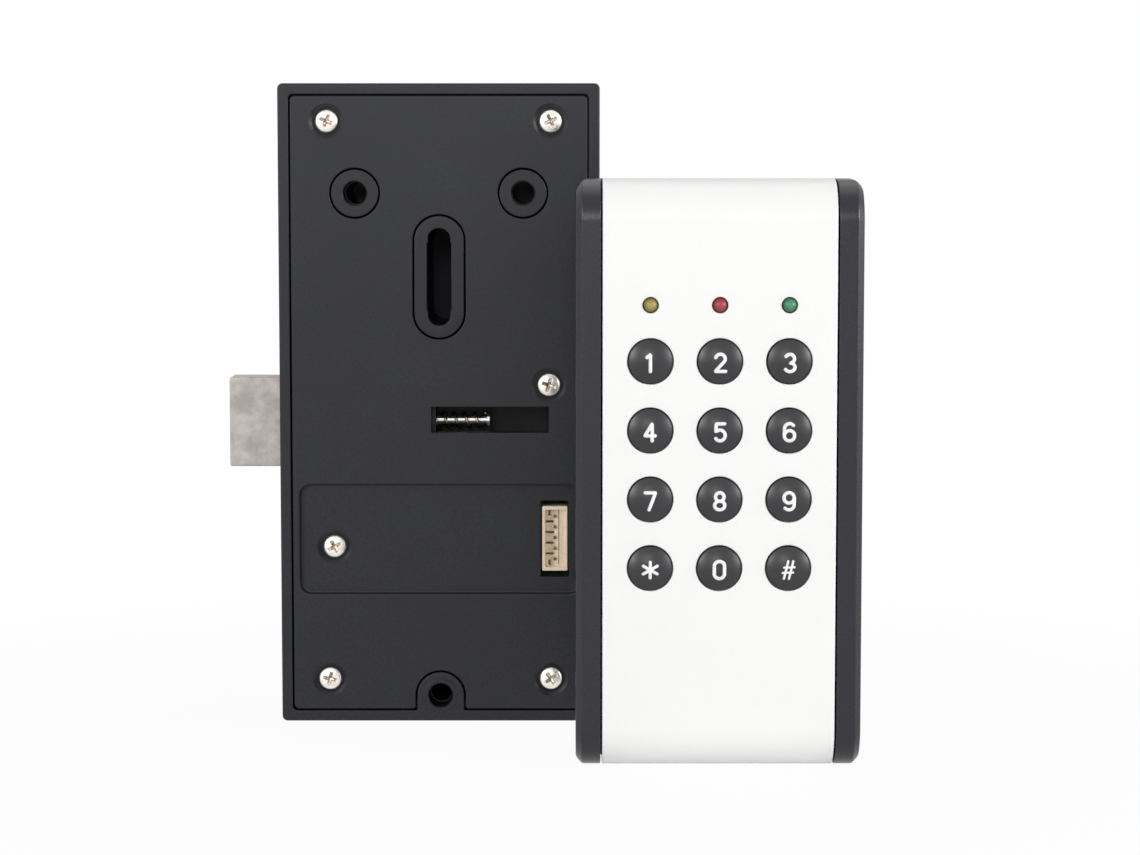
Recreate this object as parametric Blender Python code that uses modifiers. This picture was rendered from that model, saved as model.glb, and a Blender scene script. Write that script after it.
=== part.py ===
"""Electronic cabinet lock: a battery bolt unit for the inside of a door, and its keypad.

Lengths are in metres. X runs from the bolt's tip to the keypad, Y from the keypad's keys to the
bolt unit's room side, and Z is up. Both units stand on z = 0, and the origin is under the middle
of the pair. A depth is measured along +Y from a unit's own front plane: the mounting face of the
bolt unit, and the white face of the keypad.
"""
import math

import bmesh
import bpy
from mathutils import Vector

# Clearances and cuts
GAP = 0.0003
OVERRUN = 0.0010
MERGE = 0.00001

# Round counts
SEGMENTS = 20
SMALL_SEGMENTS = 12
FILLET_STEPS = 3
ROUND_PROFILE_SHARE = 0.5

# Where the two units stand
KEYPAD_AHEAD = 0.0500
KEYPAD_ASIDE = 0.05435

# Fixing pattern that both units share
FIXING_SPACING = 0.0340
FIXING_LOW_HEIGHT = 0.0053
FIXING_BELOW_TOP = 0.0221
FIXING_HOLE_RADIUS = 0.0024
FIXING_MOUTH_DEPTH = 0.0060
FIXING_SHANK_RADIUS = 0.0022
FIXING_SEAT_RADIUS = 0.0042
FIXING_SEAT_DEPTH = 0.0032

# Bolt unit: casing
LOCK_WIDTH = 0.0650
LOCK_HEIGHT = 0.1300
LOCK_DEPTH = 0.0290
LOCK_WALL = 0.0022
LOCK_CORNER_RADIUS = 0.0011
LOCK_BACK_RADIUS = 0.0010
COVER_LEDGE = 0.0018
MECHANISM_DEPTH = 0.0118
POCKET_ABOVE_LID = 0.0072

# Bolt unit: cover plate
COVER_THICKNESS = 0.0030
COVER_CORNER_RADIUS = 0.0010
RECESS_MARGIN = 0.0040
RECESS_HEIGHT = 0.0223
RECESS_BELOW_BOLT = 0.0237
RECESS_DEPTH = 0.0012
RECESS_CORNER_RADIUS = 0.0021
WINDOW_HEIGHT = 0.0053
WINDOW_ABOVE_BOLT = 0.0008
WINDOW_OVER_CARRIAGE = 0.0007
CUTOUT_WIDTH = 0.0058
CUTOUT_HEIGHT = 0.0157

# Bolt unit: posts and the long slot
POST_RADIUS = 0.0048
SLOT_WIDTH = 0.0051
SLOT_END_WIDTH = 0.0044
SLOT_HEIGHT = 0.0197
SLOT_SHOULDER_HEIGHT = 0.0128
SLOT_ABOVE_BOLT = 0.0298
SLOT_WALL = 0.0025
RING_RADIUS = 0.0034
RING_PROUD = 0.0002

# Bolt unit: cover screws
SCREW_LOW = 0.0088
SCREW_FROM_SIDE = 0.0099
SCREW_BELOW_TOP = 0.0076
SCREW_MIDDLE_FROM_SIDE = 0.0103
SCREW_MIDDLE_ABOVE_BOLT = 0.0079
SCREW_RECESS_FROM_SIDE = 0.0109
SCREW_RECESS_BELOW_CENTRE = 0.0016
SCREW_HEAD_RADIUS = 0.0023
SCREW_HEAD_HEIGHT = 0.0012
SCREW_SHANK_RADIUS = 0.0010
SCREW_SHANK_LENGTH = 0.0070
SCREW_POCKET_RADIUS = 0.0027
SCREW_POCKET_DEPTH = 0.0010
SCREW_CHAMFER = 0.0004
SCREW_BOSS_RADIUS = 0.0030

# Bolt and its drive
BOLT_THROW = 0.0107
BOLT_HEIGHT = 0.0183
BOLT_THICKNESS = 0.0080
BOLT_NOSE = 0.0150
BOLT_CENTRE_HEIGHT = 0.0612
BOLT_DEPTH = 0.0046
BOLT_EDGE_RADIUS = 0.0004
RAIL_THICKNESS = 0.0020
MOTOR_RADIUS = 0.0040
MOTOR_LENGTH = 0.0079
MOTOR_FLAT = 0.0005
GEARBOX_RADIUS = 0.0037
GEARBOX_LENGTH = 0.0042
FORK_CLEARANCE = 0.0006
CARRIAGE_LENGTH = 0.0035
CARRIAGE_PEG_RADIUS = 0.0012
CARRIAGE_PEG_LENGTH = 0.0030
CRADLE_HALF_WIDTH = 0.0030
CRADLE_RISE = 0.0030
COIL_TURNS_PER_THROW = 5
COIL_RADIUS = 0.00155
COIL_WIRE_RADIUS = 0.0003
COIL_POINTS_PER_TURN = 10
COIL_CLEARANCE = 0.00035
SHAFT_RADIUS = 0.0009
SHAFT_COLLAR_RADIUS = 0.0017
SHAFT_COLLAR_LENGTH = 0.0005
DRIVE_PIN_RADIUS = 0.0004
COIL_END_ALLOWANCE = 0.0012

# Bolt unit: circuit board and its socket
BOARD_TO_WALL = 0.0005
BOARD_TO_RAIL = 0.00075
BOARD_TO_POST = 0.0049
BOARD_TO_SCREW_BOSS = 0.0051
BOARD_THICKNESS = 0.0016
BOARD_BOSS_HEIGHT = 0.0033
BOARD_BOSS_RADIUS = 0.0025
BOARD_BOSS_INSET = 0.0045
SOCKET_WIDTH = 0.0052
SOCKET_LENGTH = 0.0133
SOCKET_FROM_SIDE = 0.0091
SOCKET_MOUTH_DEPTH = 0.0015
SOCKET_WALL = 0.0008
SOCKET_FLOOR = 0.0016
SOCKET_KEYWAY_WIDTH = 0.0014
SOCKET_PINS = 5
PIN_PITCH = 0.0022
PIN_WIDTH = 0.0006
PIN_SHORTFALL = 0.0015

# Battery bay in the room side
CELL_COUNT = 4
CELL_RADIUS = 0.00525
CELL_LENGTH = 0.0445
CELL_NUB_RADIUS = 0.0019
CELL_NUB_HEIGHT = 0.0010
CELL_EDGE = 0.0006
CELL_PITCH = 0.0109
BAY_BOTTOM = 0.0150
LID_THICKNESS = 0.0016
LID_LEDGE = 0.0016
LID_CORNER_RADIUS = 0.0020
LID_GROOVES = 4
LID_GROOVE_WIDTH = 0.0009
LID_GROOVE_PITCH = 0.0022
LID_GROOVE_LENGTH = 0.0160
LID_GROOVE_DEPTH = 0.0005
LID_GROOVE_INSET = 0.0050
CONTACT_THICKNESS = 0.0005
CONTACT_WIDTH = 0.0080
CONTACT_HEIGHT = 0.0080
CONTACT_SPRING_HEIGHT = 0.0020
CONTACT_SPRING_RADIUS = 0.0030
CONTACT_TIP_RADIUS = 0.0014

# Keypad: casing and white face
KEYPAD_WIDTH = 0.0536
KEYPAD_ABOVE_FIXING = 0.0031
KEYPAD_DEPTH = 0.0200
KEYPAD_END_RADIUS = 0.0080
KEYPAD_END_STEPS = 8
CHEEK_BEVEL = 0.0012
FACE_WIDTH = 0.0436
FACE_THICKNESS = 0.0020
FACE_WRAP = 0.0155

# Keypad: keys and lamps
KEY_ROWS = 4
KEY_COLUMNS = 3
KEY_PITCH = 0.0129
KEYS_BELOW_LAMPS = 0.01045
KEY_RADIUS = 0.0042
KEY_HOLE_RADIUS = 0.0045
KEY_PROUD = 0.0012
KEY_CROWN = 0.0007
KEY_CROWN_STEPS = 3
KEY_FLANGE_RADIUS = 0.0051
KEY_FLANGE_THICKNESS = 0.0010
KEY_TRAVEL = 0.0010
LAMP_BELOW_TOP_SHARE = 0.2108
LAMP_RADIUS = 0.00145
LAMP_FLANGE_RADIUS = 0.0018
LAMP_FLANGE_THICKNESS = 0.0008
LAMP_PROUD = 0.0007
LAMP_HOLE_RADIUS = 0.00175
LAMP_LEG_RADIUS = 0.0003
LAMP_LEG_SPACING = 0.0013

# Keypad: inside
MAT_DOME_HEIGHT = 0.0015
MAT_DOME_RADIUS = 0.0036
MAT_DOME_TOP_RADIUS = 0.0022
MAT_THICKNESS = 0.0010
MAT_MARGIN = 0.0060
KEYPAD_BOARD_INSET = 0.0018
KEYPAD_BOARD_BOTTOM = 0.0160
KEYPAD_BOARD_BELOW_TOP = 0.0110
KEYPAD_BOSS_INSET = 0.0040
BUZZER_RADIUS = 0.0045
BUZZER_HEIGHT = 0.0040
BUZZER_BELOW_TOP = 0.0230
KEYPAD_SOCKET_HEIGHT = 0.0270
INSERT_RADIUS = 0.0025
INSERT_LENGTH = 0.0038
INSERT_BORE_RADIUS = 0.0017
CASE_SCREW_LOW = 0.0125
CASE_SCREW_BELOW_TOP = 0.0065
CASE_BOSS_RADIUS = 0.0028
CASE_SCREW_LENGTH = 0.0090
CASE_SCREW_POCKET = 0.0018

# Places worked out from the sizes above
PAIR_LEFT = -LOCK_WIDTH / 2 - BOLT_THROW
PAIR_RIGHT = KEYPAD_ASIDE + KEYPAD_WIDTH / 2
LOCK_X = -(PAIR_LEFT + PAIR_RIGHT) / 2
KEYPAD_X = LOCK_X + KEYPAD_ASIDE
LOCK_Y = (KEYPAD_AHEAD + KEY_PROUD - LOCK_DEPTH) / 2
KEYPAD_Y = LOCK_Y - KEYPAD_AHEAD
FIXING_HIGH_HEIGHT = LOCK_HEIGHT - FIXING_BELOW_TOP
KEYPAD_HEIGHT = FIXING_HIGH_HEIGHT + KEYPAD_ABOVE_FIXING
RECESS_WIDTH = LOCK_WIDTH - 2 * RECESS_MARGIN
RECESS_CENTRE_HEIGHT = BOLT_CENTRE_HEIGHT - RECESS_BELOW_BOLT
SLOT_CENTRE_HEIGHT = BOLT_CENTRE_HEIGHT + SLOT_ABOVE_BOLT
WINDOW_CENTRE_HEIGHT = BOLT_CENTRE_HEIGHT + WINDOW_ABOVE_BOLT
SOCKET_SIDE = LOCK_WIDTH / 2 - SOCKET_FROM_SIDE
SCREW_SIDE = LOCK_WIDTH / 2 - SCREW_FROM_SIDE
SCREW_HIGH = LOCK_HEIGHT - SCREW_BELOW_TOP
SCREW_MIDDLE_SIDE = LOCK_WIDTH / 2 - SCREW_MIDDLE_FROM_SIDE
SCREW_MIDDLE_HEIGHT = BOLT_CENTRE_HEIGHT + SCREW_MIDDLE_ABOVE_BOLT
SCREW_RECESS_SIDE = LOCK_WIDTH / 2 - SCREW_RECESS_FROM_SIDE
SCREW_RECESS_HEIGHT = RECESS_CENTRE_HEIGHT - SCREW_RECESS_BELOW_CENTRE
INNER_FLOOR = COVER_THICKNESS + MECHANISM_DEPTH
CAVITY_INSET = LOCK_WALL + COVER_LEDGE
COVER_WIDTH = LOCK_WIDTH - 2 * (LOCK_WALL + GAP)
COVER_HEIGHT = LOCK_HEIGHT - 2 * (LOCK_WALL + GAP)
BOLT_AXIS_DEPTH = BOLT_DEPTH + BOLT_THICKNESS / 2
BOLT_TIP = -LOCK_WIDTH / 2 - BOLT_THROW
MOTOR_START = BOLT_TIP + BOLT_NOSE + BOLT_THROW + GAP
GEARBOX_START = MOTOR_START + MOTOR_LENGTH + GAP
CARRIAGE_START = GEARBOX_START + GEARBOX_LENGTH + GAP
DRIVE_PIN_X = CARRIAGE_START + CARRIAGE_LENGTH / 2
COIL_PITCH = BOLT_THROW / COIL_TURNS_PER_THROW
COIL_START = DRIVE_PIN_X - COIL_END_ALLOWANCE
COIL_END = DRIVE_PIN_X + BOLT_THROW + COIL_END_ALLOWANCE
CARRIAGE_BORE_RADIUS = COIL_RADIUS + COIL_WIRE_RADIUS + COIL_CLEARANCE
FORK_HALF_HEIGHT = MOTOR_RADIUS + FORK_CLEARANCE
WINDOW_START = CARRIAGE_START + CARRIAGE_LENGTH - WINDOW_OVER_CARRIAGE
WINDOW_END = SCREW_MIDDLE_SIDE
LOCK_BOARD_LEFT = SCREW_RECESS_SIDE - SCREW_BOSS_RADIUS - BOARD_TO_SCREW_BOSS
LOCK_BOARD_RIGHT = LOCK_WIDTH / 2 - CAVITY_INSET - BOARD_TO_WALL
LOCK_BOARD_BOTTOM = FIXING_LOW_HEIGHT + POST_RADIUS + BOARD_TO_POST
LOCK_BOARD_TOP = BOLT_CENTRE_HEIGHT - BOLT_HEIGHT / 2 - GAP - RAIL_THICKNESS - BOARD_TO_RAIL
BAY_HEIGHT = CELL_LENGTH + 2 * (CONTACT_THICKNESS + CONTACT_SPRING_HEIGHT + 2 * GAP)
BAY_WIDTH = (CELL_COUNT - 1) * CELL_PITCH + 2 * (CELL_RADIUS + GAP)
UPPER_POCKET_BOTTOM = BAY_BOTTOM + BAY_HEIGHT + LID_LEDGE + POCKET_ABOVE_LID
LID_DEPTH = LOCK_DEPTH - LID_THICKNESS
CELL_DEPTH = LID_DEPTH - GAP - CELL_RADIUS
BAY_FLOOR = CELL_DEPTH - CELL_RADIUS - GAP
BOARD_DEPTH = INNER_FLOOR - BOARD_BOSS_HEIGHT - BOARD_THICKNESS
SOCKET_HEIGHT = BOARD_DEPTH - GAP - SOCKET_MOUTH_DEPTH
SOCKET_PIN_HALF = PIN_WIDTH / 2
SLAB_DEPTH = FACE_WRAP + GAP
LAMP_HEIGHT = KEYPAD_HEIGHT * (1 - LAMP_BELOW_TOP_SHARE)
KEY_LOW_HEIGHT = LAMP_HEIGHT - KEYS_BELOW_LAMPS - (KEY_ROWS - 1) * KEY_PITCH
KEYPAD_BOARD_WIDTH = FACE_WIDTH - 2 * KEYPAD_BOARD_INSET
KEYPAD_BOARD_HEIGHT = KEYPAD_HEIGHT - KEYPAD_BOARD_BELOW_TOP - KEYPAD_BOARD_BOTTOM
BUZZER_CENTRE_HEIGHT = KEYPAD_HEIGHT - BUZZER_BELOW_TOP
CASE_SCREW_HIGH = KEYPAD_HEIGHT - CASE_SCREW_BELOW_TOP
KEY_FLANGE_DEPTH = FACE_THICKNESS + GAP
KEY_BOTTOM = KEY_FLANGE_DEPTH + KEY_FLANGE_THICKNESS
MAT_TOP = KEY_BOTTOM + KEY_TRAVEL + GAP
MAT_SHEET_DEPTH = MAT_TOP + MAT_DOME_HEIGHT
KEYPAD_BOARD_DEPTH = MAT_SHEET_DEPTH + MAT_THICKNESS + GAP

PAINT = {
    "black_abs": ((0.045, 0.046, 0.052), 0.0, 0.55),
    "black_cheek": ((0.060, 0.060, 0.066), 0.0, 0.50),
    "white_abs": ((0.92, 0.92, 0.91), 0.0, 0.40),
    "key_plastic": ((0.050, 0.050, 0.054), 0.0, 0.35),
    "bolt_steel": ((0.47, 0.44, 0.42), 1.0, 0.45),
    "bright_steel": ((0.80, 0.79, 0.76), 1.0, 0.25),
    "motor_steel": ((0.60, 0.60, 0.60), 1.0, 0.35),
    "dark_nylon": ((0.030, 0.030, 0.032), 0.0, 0.50),
    "board_green": ((0.02, 0.16, 0.07), 0.0, 0.45),
    "cream_nylon": ((0.72, 0.66, 0.52), 0.0, 0.50),
    "cell_jacket": ((0.10, 0.28, 0.16), 0.3, 0.35),
    "silicone": ((0.35, 0.35, 0.37), 0.0, 0.70),
    "brass": ((0.72, 0.55, 0.24), 1.0, 0.30),
    "yellow_epoxy": ((0.45, 0.42, 0.03), 0.0, 0.20),
    "red_epoxy": ((0.50, 0.02, 0.03), 0.0, 0.20),
    "green_epoxy": ((0.03, 0.30, 0.10), 0.0, 0.20),
}


def clear_scene():
    """Remove every object that the file opened with."""
    for thing in list(bpy.data.objects):
        bpy.data.objects.remove(thing, do_unlink=True)


def new_collection(name):
    """Make a collection in the scene."""
    collection = bpy.data.collections.new(name)
    bpy.context.scene.collection.children.link(collection)
    return collection


def new_material(name):
    """Make the material of one part from its row in PAINT."""
    colour, metallic, roughness = PAINT[name]
    material = bpy.data.materials.new(name)
    material.use_nodes = True
    shader = material.node_tree.nodes["Principled BSDF"]
    shader.inputs["Base Color"].default_value = (*colour, 1)
    shader.inputs["Metallic"].default_value = metallic
    shader.inputs["Roughness"].default_value = roughness
    return material


def lock_point(x, depth, z):
    """A point of the bolt unit, from its centre line, its mounting face and the floor."""
    return Vector((LOCK_X + x, LOCK_Y + depth, z))


def keypad_point(x, depth, z):
    """A point of the keypad, from its centre line, its white face and the floor."""
    return Vector((KEYPAD_X + x, KEYPAD_Y + depth, z))


def block(low, high):
    """A box between two opposite corners."""
    geometry = bmesh.new()
    bmesh.ops.create_cube(geometry, size=1)
    bmesh.ops.scale(geometry, vec=high - low, verts=geometry.verts)
    bmesh.ops.translate(geometry, vec=(low + high) / 2, verts=geometry.verts)
    return geometry


def runs_along(axis):
    """A test that picks the edges parallel to one axis, 0 for X, 1 for Y and 2 for Z."""
    def test(edge):
        span = edge.verts[1].co - edge.verts[0].co
        return abs(span[axis]) > span.length * (1 - MERGE)
    return test


def round_edges(geometry, radius, steps, test):
    """Round the edges that the test picks."""
    edges = [edge for edge in geometry.edges if test(edge)]
    bmesh.ops.bevel(geometry, geom=edges, offset=radius, segments=steps,
                    profile=ROUND_PROFILE_SHARE, affect="EDGES")
    return geometry


def plate(low, high, radius, steps=FILLET_STEPS):
    """A box whose four edges along Y are rounded."""
    return round_edges(block(low, high), radius, steps, runs_along(1))


def rod(start, end, radius, end_radius=None, segments=SEGMENTS):
    """A cylinder, or a cone where the end radius differs, from one point to another."""
    geometry = bmesh.new()
    span = end - start
    bmesh.ops.create_cone(geometry, cap_ends=True, segments=segments, radius1=radius,
                          radius2=radius if end_radius is None else end_radius, depth=span.length)
    turn = Vector((0, 0, 1)).rotation_difference(span).to_matrix()
    bmesh.ops.rotate(geometry, cent=Vector(), matrix=turn, verts=geometry.verts)
    bmesh.ops.translate(geometry, vec=(start + end) / 2, verts=geometry.verts)
    return geometry


def obround(start, end, width, height, segments=SEGMENTS):
    """A cylinder along Y drawn out along Z into a slot's shape."""
    geometry = rod(start, end, width / 2, segments=segments)
    half_step = math.pi / segments
    turn = Vector((math.cos(half_step), 0, math.sin(half_step)))
    bmesh.ops.rotate(geometry, cent=start, verts=geometry.verts,
                     matrix=Vector((1, 0, 0)).rotation_difference(turn).to_matrix())
    reach = (height - width) / 2
    for vertex in geometry.verts:
        vertex.co.z += math.copysign(reach, vertex.co.z - start.z)
    return geometry


def gather(shapes):
    """Put separate shapes into one geometry."""
    if len(shapes) == 1:
        return shapes[0]
    whole = bmesh.new()
    for shape in shapes:
        mesh = bpy.data.meshes.new("shape")
        shape.to_mesh(mesh)
        shape.free()
        whole.from_mesh(mesh)
        bpy.data.meshes.remove(mesh)
    return whole


class Workshop:
    """Holds the collections and makes, cuts and joins the parts."""

    def __init__(self, name):
        self.parts = new_collection(name)
        self.tools = new_collection(name + "_cutters")
        self.materials = {}
        self.tool_count = 0

    def dress(self, part, paint):
        """Give a part its material."""
        if paint not in self.materials:
            self.materials[paint] = new_material(paint)
        part.data.materials.append(self.materials[paint])
        return part

    def make(self, name, geometry, paint):
        """Turn a geometry into a named part."""
        mesh = bpy.data.meshes.new(name)
        geometry.to_mesh(mesh)
        geometry.free()
        part = bpy.data.objects.new(name, mesh)
        self.parts.objects.link(part)
        return self.dress(part, paint)

    def change(self, part, geometry, operation):
        """Cut a part with a shape, or join the shape to it."""
        self.tool_count += 1
        name = f"{part.name}_tool_{self.tool_count}"
        mesh = bpy.data.meshes.new(name)
        geometry.to_mesh(mesh)
        geometry.free()
        tool = bpy.data.objects.new(name, mesh)
        tool.hide_render = True
        tool.display_type = "WIRE"
        self.tools.objects.link(tool)
        modifier = part.modifiers.new(name, "BOOLEAN")
        modifier.object = tool
        modifier.operation = operation
        modifier.solver = "EXACT"

    def cut(self, part, *shapes):
        """Take shapes that stand clear of each other away from the part, in one go."""
        self.change(part, gather(shapes), "DIFFERENCE")

    def join(self, part, *shapes):
        """Add shapes that stand clear of each other to the part, in one go."""
        self.change(part, gather(shapes), "UNION")

    def turned(self, name, profile, place, facing, paint, segments=SEGMENTS):
        """A part turned from (radius, height) points, with its height along facing."""
        geometry = bmesh.new()
        points = [geometry.verts.new((radius, 0, height)) for radius, height in profile]
        for first, second in zip(points, points[1:]):
            geometry.edges.new((first, second))
        part = self.make(name, geometry, paint)
        part.location = place
        part.rotation_mode = "QUATERNION"
        part.rotation_quaternion = Vector((0, 0, 1)).rotation_difference(facing)
        screw = part.modifiers.new("turn", "SCREW")
        screw.axis = "Z"
        screw.steps = segments
        screw.render_steps = segments
        screw.use_merge_vertices = True
        screw.merge_threshold = MERGE
        return part


def move_origin(part, point):
    """Put a part's origin on its joint's axis without moving the part."""
    for vertex in part.data.vertices:
        vertex.co -= point
    part.location = point


FRONT = Vector((0, -1, 0))
BACK = Vector((0, 1, 0))
RIGHT = Vector((1, 0, 0))


def fixing_places():
    """The three fixing centres, as offsets from a unit's centre line and floor."""
    side = FIXING_SPACING / 2
    return [(-side, FIXING_HIGH_HEIGHT), (side, FIXING_HIGH_HEIGHT), (0, FIXING_LOW_HEIGHT)]


def cover_screw_places():
    """Centres of the cover screws, and the depth of the surface that each is sunk in."""
    return [
        (-SCREW_SIDE, SCREW_HIGH, 0),
        (SCREW_SIDE, SCREW_HIGH, 0),
        (SCREW_MIDDLE_SIDE, SCREW_MIDDLE_HEIGHT, 0),
        (-SCREW_RECESS_SIDE, SCREW_RECESS_HEIGHT, RECESS_DEPTH),
        (-SCREW_SIDE, SCREW_LOW, 0),
        (SCREW_SIDE, SCREW_LOW, 0),
    ]


def board_boss_places():
    """Centres of the two bosses under the bolt unit's circuit board."""
    left = -LOCK_BOARD_LEFT + BOARD_BOSS_INSET
    top = LOCK_BOARD_TOP - BOARD_BOSS_INSET
    bottom = LOCK_BOARD_BOTTOM + BOARD_BOSS_INSET
    return [(left, bottom), (left, top)]


def lock_casing(shop):
    """The moulded casing, hollow behind the cover, with its posts, rails and battery bay."""
    half = LOCK_WIDTH / 2
    geometry = plate(lock_point(-half, 0, 0), lock_point(half, LOCK_DEPTH, LOCK_HEIGHT),
                     LOCK_CORNER_RADIUS)
    back = LOCK_Y + LOCK_DEPTH
    round_edges(geometry, min(LOCK_BACK_RADIUS, LOCK_CORNER_RADIUS), FILLET_STEPS,
                lambda edge: all(abs(vertex.co.y - back) < MERGE for vertex in edge.verts))
    casing = shop.make("lock_casing", geometry, "black_abs")

    seat = half - LOCK_WALL
    shop.cut(casing, plate(lock_point(-seat, -OVERRUN, LOCK_WALL),
                           lock_point(seat, COVER_THICKNESS, LOCK_HEIGHT - LOCK_WALL),
                           COVER_CORNER_RADIUS))
    inner = half - CAVITY_INSET
    ceiling = LOCK_HEIGHT - CAVITY_INSET
    shop.cut(casing, block(lock_point(-inner, 0, CAVITY_INSET),
                           lock_point(inner, INNER_FLOOR, ceiling)))
    shop.cut(casing, block(lock_point(-inner, COVER_THICKNESS, UPPER_POCKET_BOTTOM),
                           lock_point(inner, LOCK_DEPTH - LOCK_WALL, ceiling)))
    lock_posts(shop, casing)
    lock_rails(shop, casing)
    lock_bay(shop, casing)
    return casing


def lock_posts(shop, casing):
    """The fixing posts, the long slot's collar and the bosses for screws and board."""
    root = LOCK_DEPTH - LOCK_WALL / 2
    floor = INNER_FLOOR + OVERRUN
    low = FIXING_LOW_HEIGHT
    posts = [rod(lock_point(x, 0, z), lock_point(x, root, z), POST_RADIUS)
             for x, z in fixing_places()[:2]]
    collar = obround(lock_point(0, 0, SLOT_CENTRE_HEIGHT), lock_point(0, root, SLOT_CENTRE_HEIGHT),
                     SLOT_WIDTH + 2 * SLOT_WALL, SLOT_HEIGHT + 2 * SLOT_WALL)
    low_post = rod(lock_point(0, 0, low), lock_point(0, floor, low), POST_RADIUS)
    shop.join(casing, *posts, collar, low_post)
    shop.join(casing, block(lock_point(-POST_RADIUS, 0, LOCK_WALL / 2),
                            lock_point(POST_RADIUS, floor, low)))
    shop.join(casing, rod(lock_point(0, -RING_PROUD, low), lock_point(0, OVERRUN, low),
                          RING_RADIUS))
    bosses = [rod(lock_point(x, COVER_THICKNESS, z),
                  lock_point(x, root if z > UPPER_POCKET_BOTTOM else floor, z),
                  SCREW_BOSS_RADIUS, segments=SMALL_SEGMENTS)
              for x, z, _ in cover_screw_places()]
    bosses += [rod(lock_point(x, BOARD_DEPTH + BOARD_THICKNESS + GAP, z), lock_point(x, floor, z),
                   BOARD_BOSS_RADIUS, segments=SMALL_SEGMENTS) for x, z in board_boss_places()]
    shop.join(casing, *bosses)
    pilots = [place[:2] for place in cover_screw_places()] + board_boss_places()
    shop.cut(casing, *[rod(lock_point(x, 0, z), lock_point(x, INNER_FLOOR, z),
                           SCREW_SHANK_RADIUS + GAP, segments=SMALL_SEGMENTS) for x, z in pilots])
    for start, end, radius in ((-OVERRUN, FIXING_MOUTH_DEPTH, FIXING_HOLE_RADIUS),
                               (0, LOCK_DEPTH + OVERRUN, FIXING_SHANK_RADIUS),
                               (LOCK_DEPTH - FIXING_SEAT_DEPTH, LOCK_DEPTH + OVERRUN,
                                FIXING_SEAT_RADIUS)):
        shop.cut(casing, *[rod(lock_point(x, start, z), lock_point(x, end, z), radius)
                           for x, z in fixing_places()])
    for width, height in ((SLOT_END_WIDTH, SLOT_HEIGHT),
                          (SLOT_WIDTH, SLOT_SHOULDER_HEIGHT + SLOT_WIDTH)):
        shop.cut(casing, obround(lock_point(0, -OVERRUN, SLOT_CENTRE_HEIGHT),
                                 lock_point(0, LOCK_DEPTH + OVERRUN, SLOT_CENTRE_HEIGHT),
                                 width, height))


def lock_rails(shop, casing):
    """The bolt's slot in the side wall, its two rails and the motor's cradle."""
    half_height = BOLT_HEIGHT / 2 + GAP
    left = -LOCK_WIDTH / 2 + LOCK_WALL
    right = CARRIAGE_START + CARRIAGE_LENGTH + BOLT_THROW + GAP
    for side in (-1, 1):
        inside = BOLT_CENTRE_HEIGHT + side * half_height
        outside = inside + side * RAIL_THICKNESS
        shop.join(casing, block(lock_point(left, BOLT_DEPTH, min(inside, outside)),
                                lock_point(right, INNER_FLOOR + OVERRUN, max(inside, outside))))
    shop.join(casing, block(
        lock_point(left, BOLT_DEPTH + BOLT_THICKNESS + GAP, BOLT_CENTRE_HEIGHT - half_height - GAP),
        lock_point(right, INNER_FLOOR + OVERRUN, BOLT_CENTRE_HEIGHT + half_height + GAP)))
    shop.join(casing, block(
        lock_point(MOTOR_START + GAP, BOLT_AXIS_DEPTH + MOTOR_RADIUS - CRADLE_RISE,
                   BOLT_CENTRE_HEIGHT - CRADLE_HALF_WIDTH),
        lock_point(GEARBOX_START - GAP, INNER_FLOOR, BOLT_CENTRE_HEIGHT + CRADLE_HALF_WIDTH)))
    shop.cut(casing, rod(lock_point(MOTOR_START - GAP, BOLT_AXIS_DEPTH, BOLT_CENTRE_HEIGHT),
                         lock_point(GEARBOX_START + GAP, BOLT_AXIS_DEPTH, BOLT_CENTRE_HEIGHT),
                         MOTOR_RADIUS + GAP))
    shop.cut(casing, block(
        lock_point(-LOCK_WIDTH / 2 - OVERRUN, BOLT_DEPTH - GAP, BOLT_CENTRE_HEIGHT - half_height),
        lock_point(left + COVER_LEDGE + OVERRUN, BOLT_DEPTH + BOLT_THICKNESS + GAP,
                   BOLT_CENTRE_HEIGHT + half_height)))


def lock_bay(shop, casing):
    """The battery bay and the lid's recess, both open to the room side."""
    half = BAY_WIDTH / 2
    shop.cut(casing, block(lock_point(-half, BAY_FLOOR, BAY_BOTTOM),
                           lock_point(half, LOCK_DEPTH + OVERRUN, BAY_BOTTOM + BAY_HEIGHT)))
    edge = LID_LEDGE + GAP
    shop.cut(casing, plate(lock_point(-half - edge, LID_DEPTH - GAP, BAY_BOTTOM - edge),
                           lock_point(half + edge, LOCK_DEPTH + OVERRUN,
                                      BAY_BOTTOM + BAY_HEIGHT + edge), LID_CORNER_RADIUS))


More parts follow.
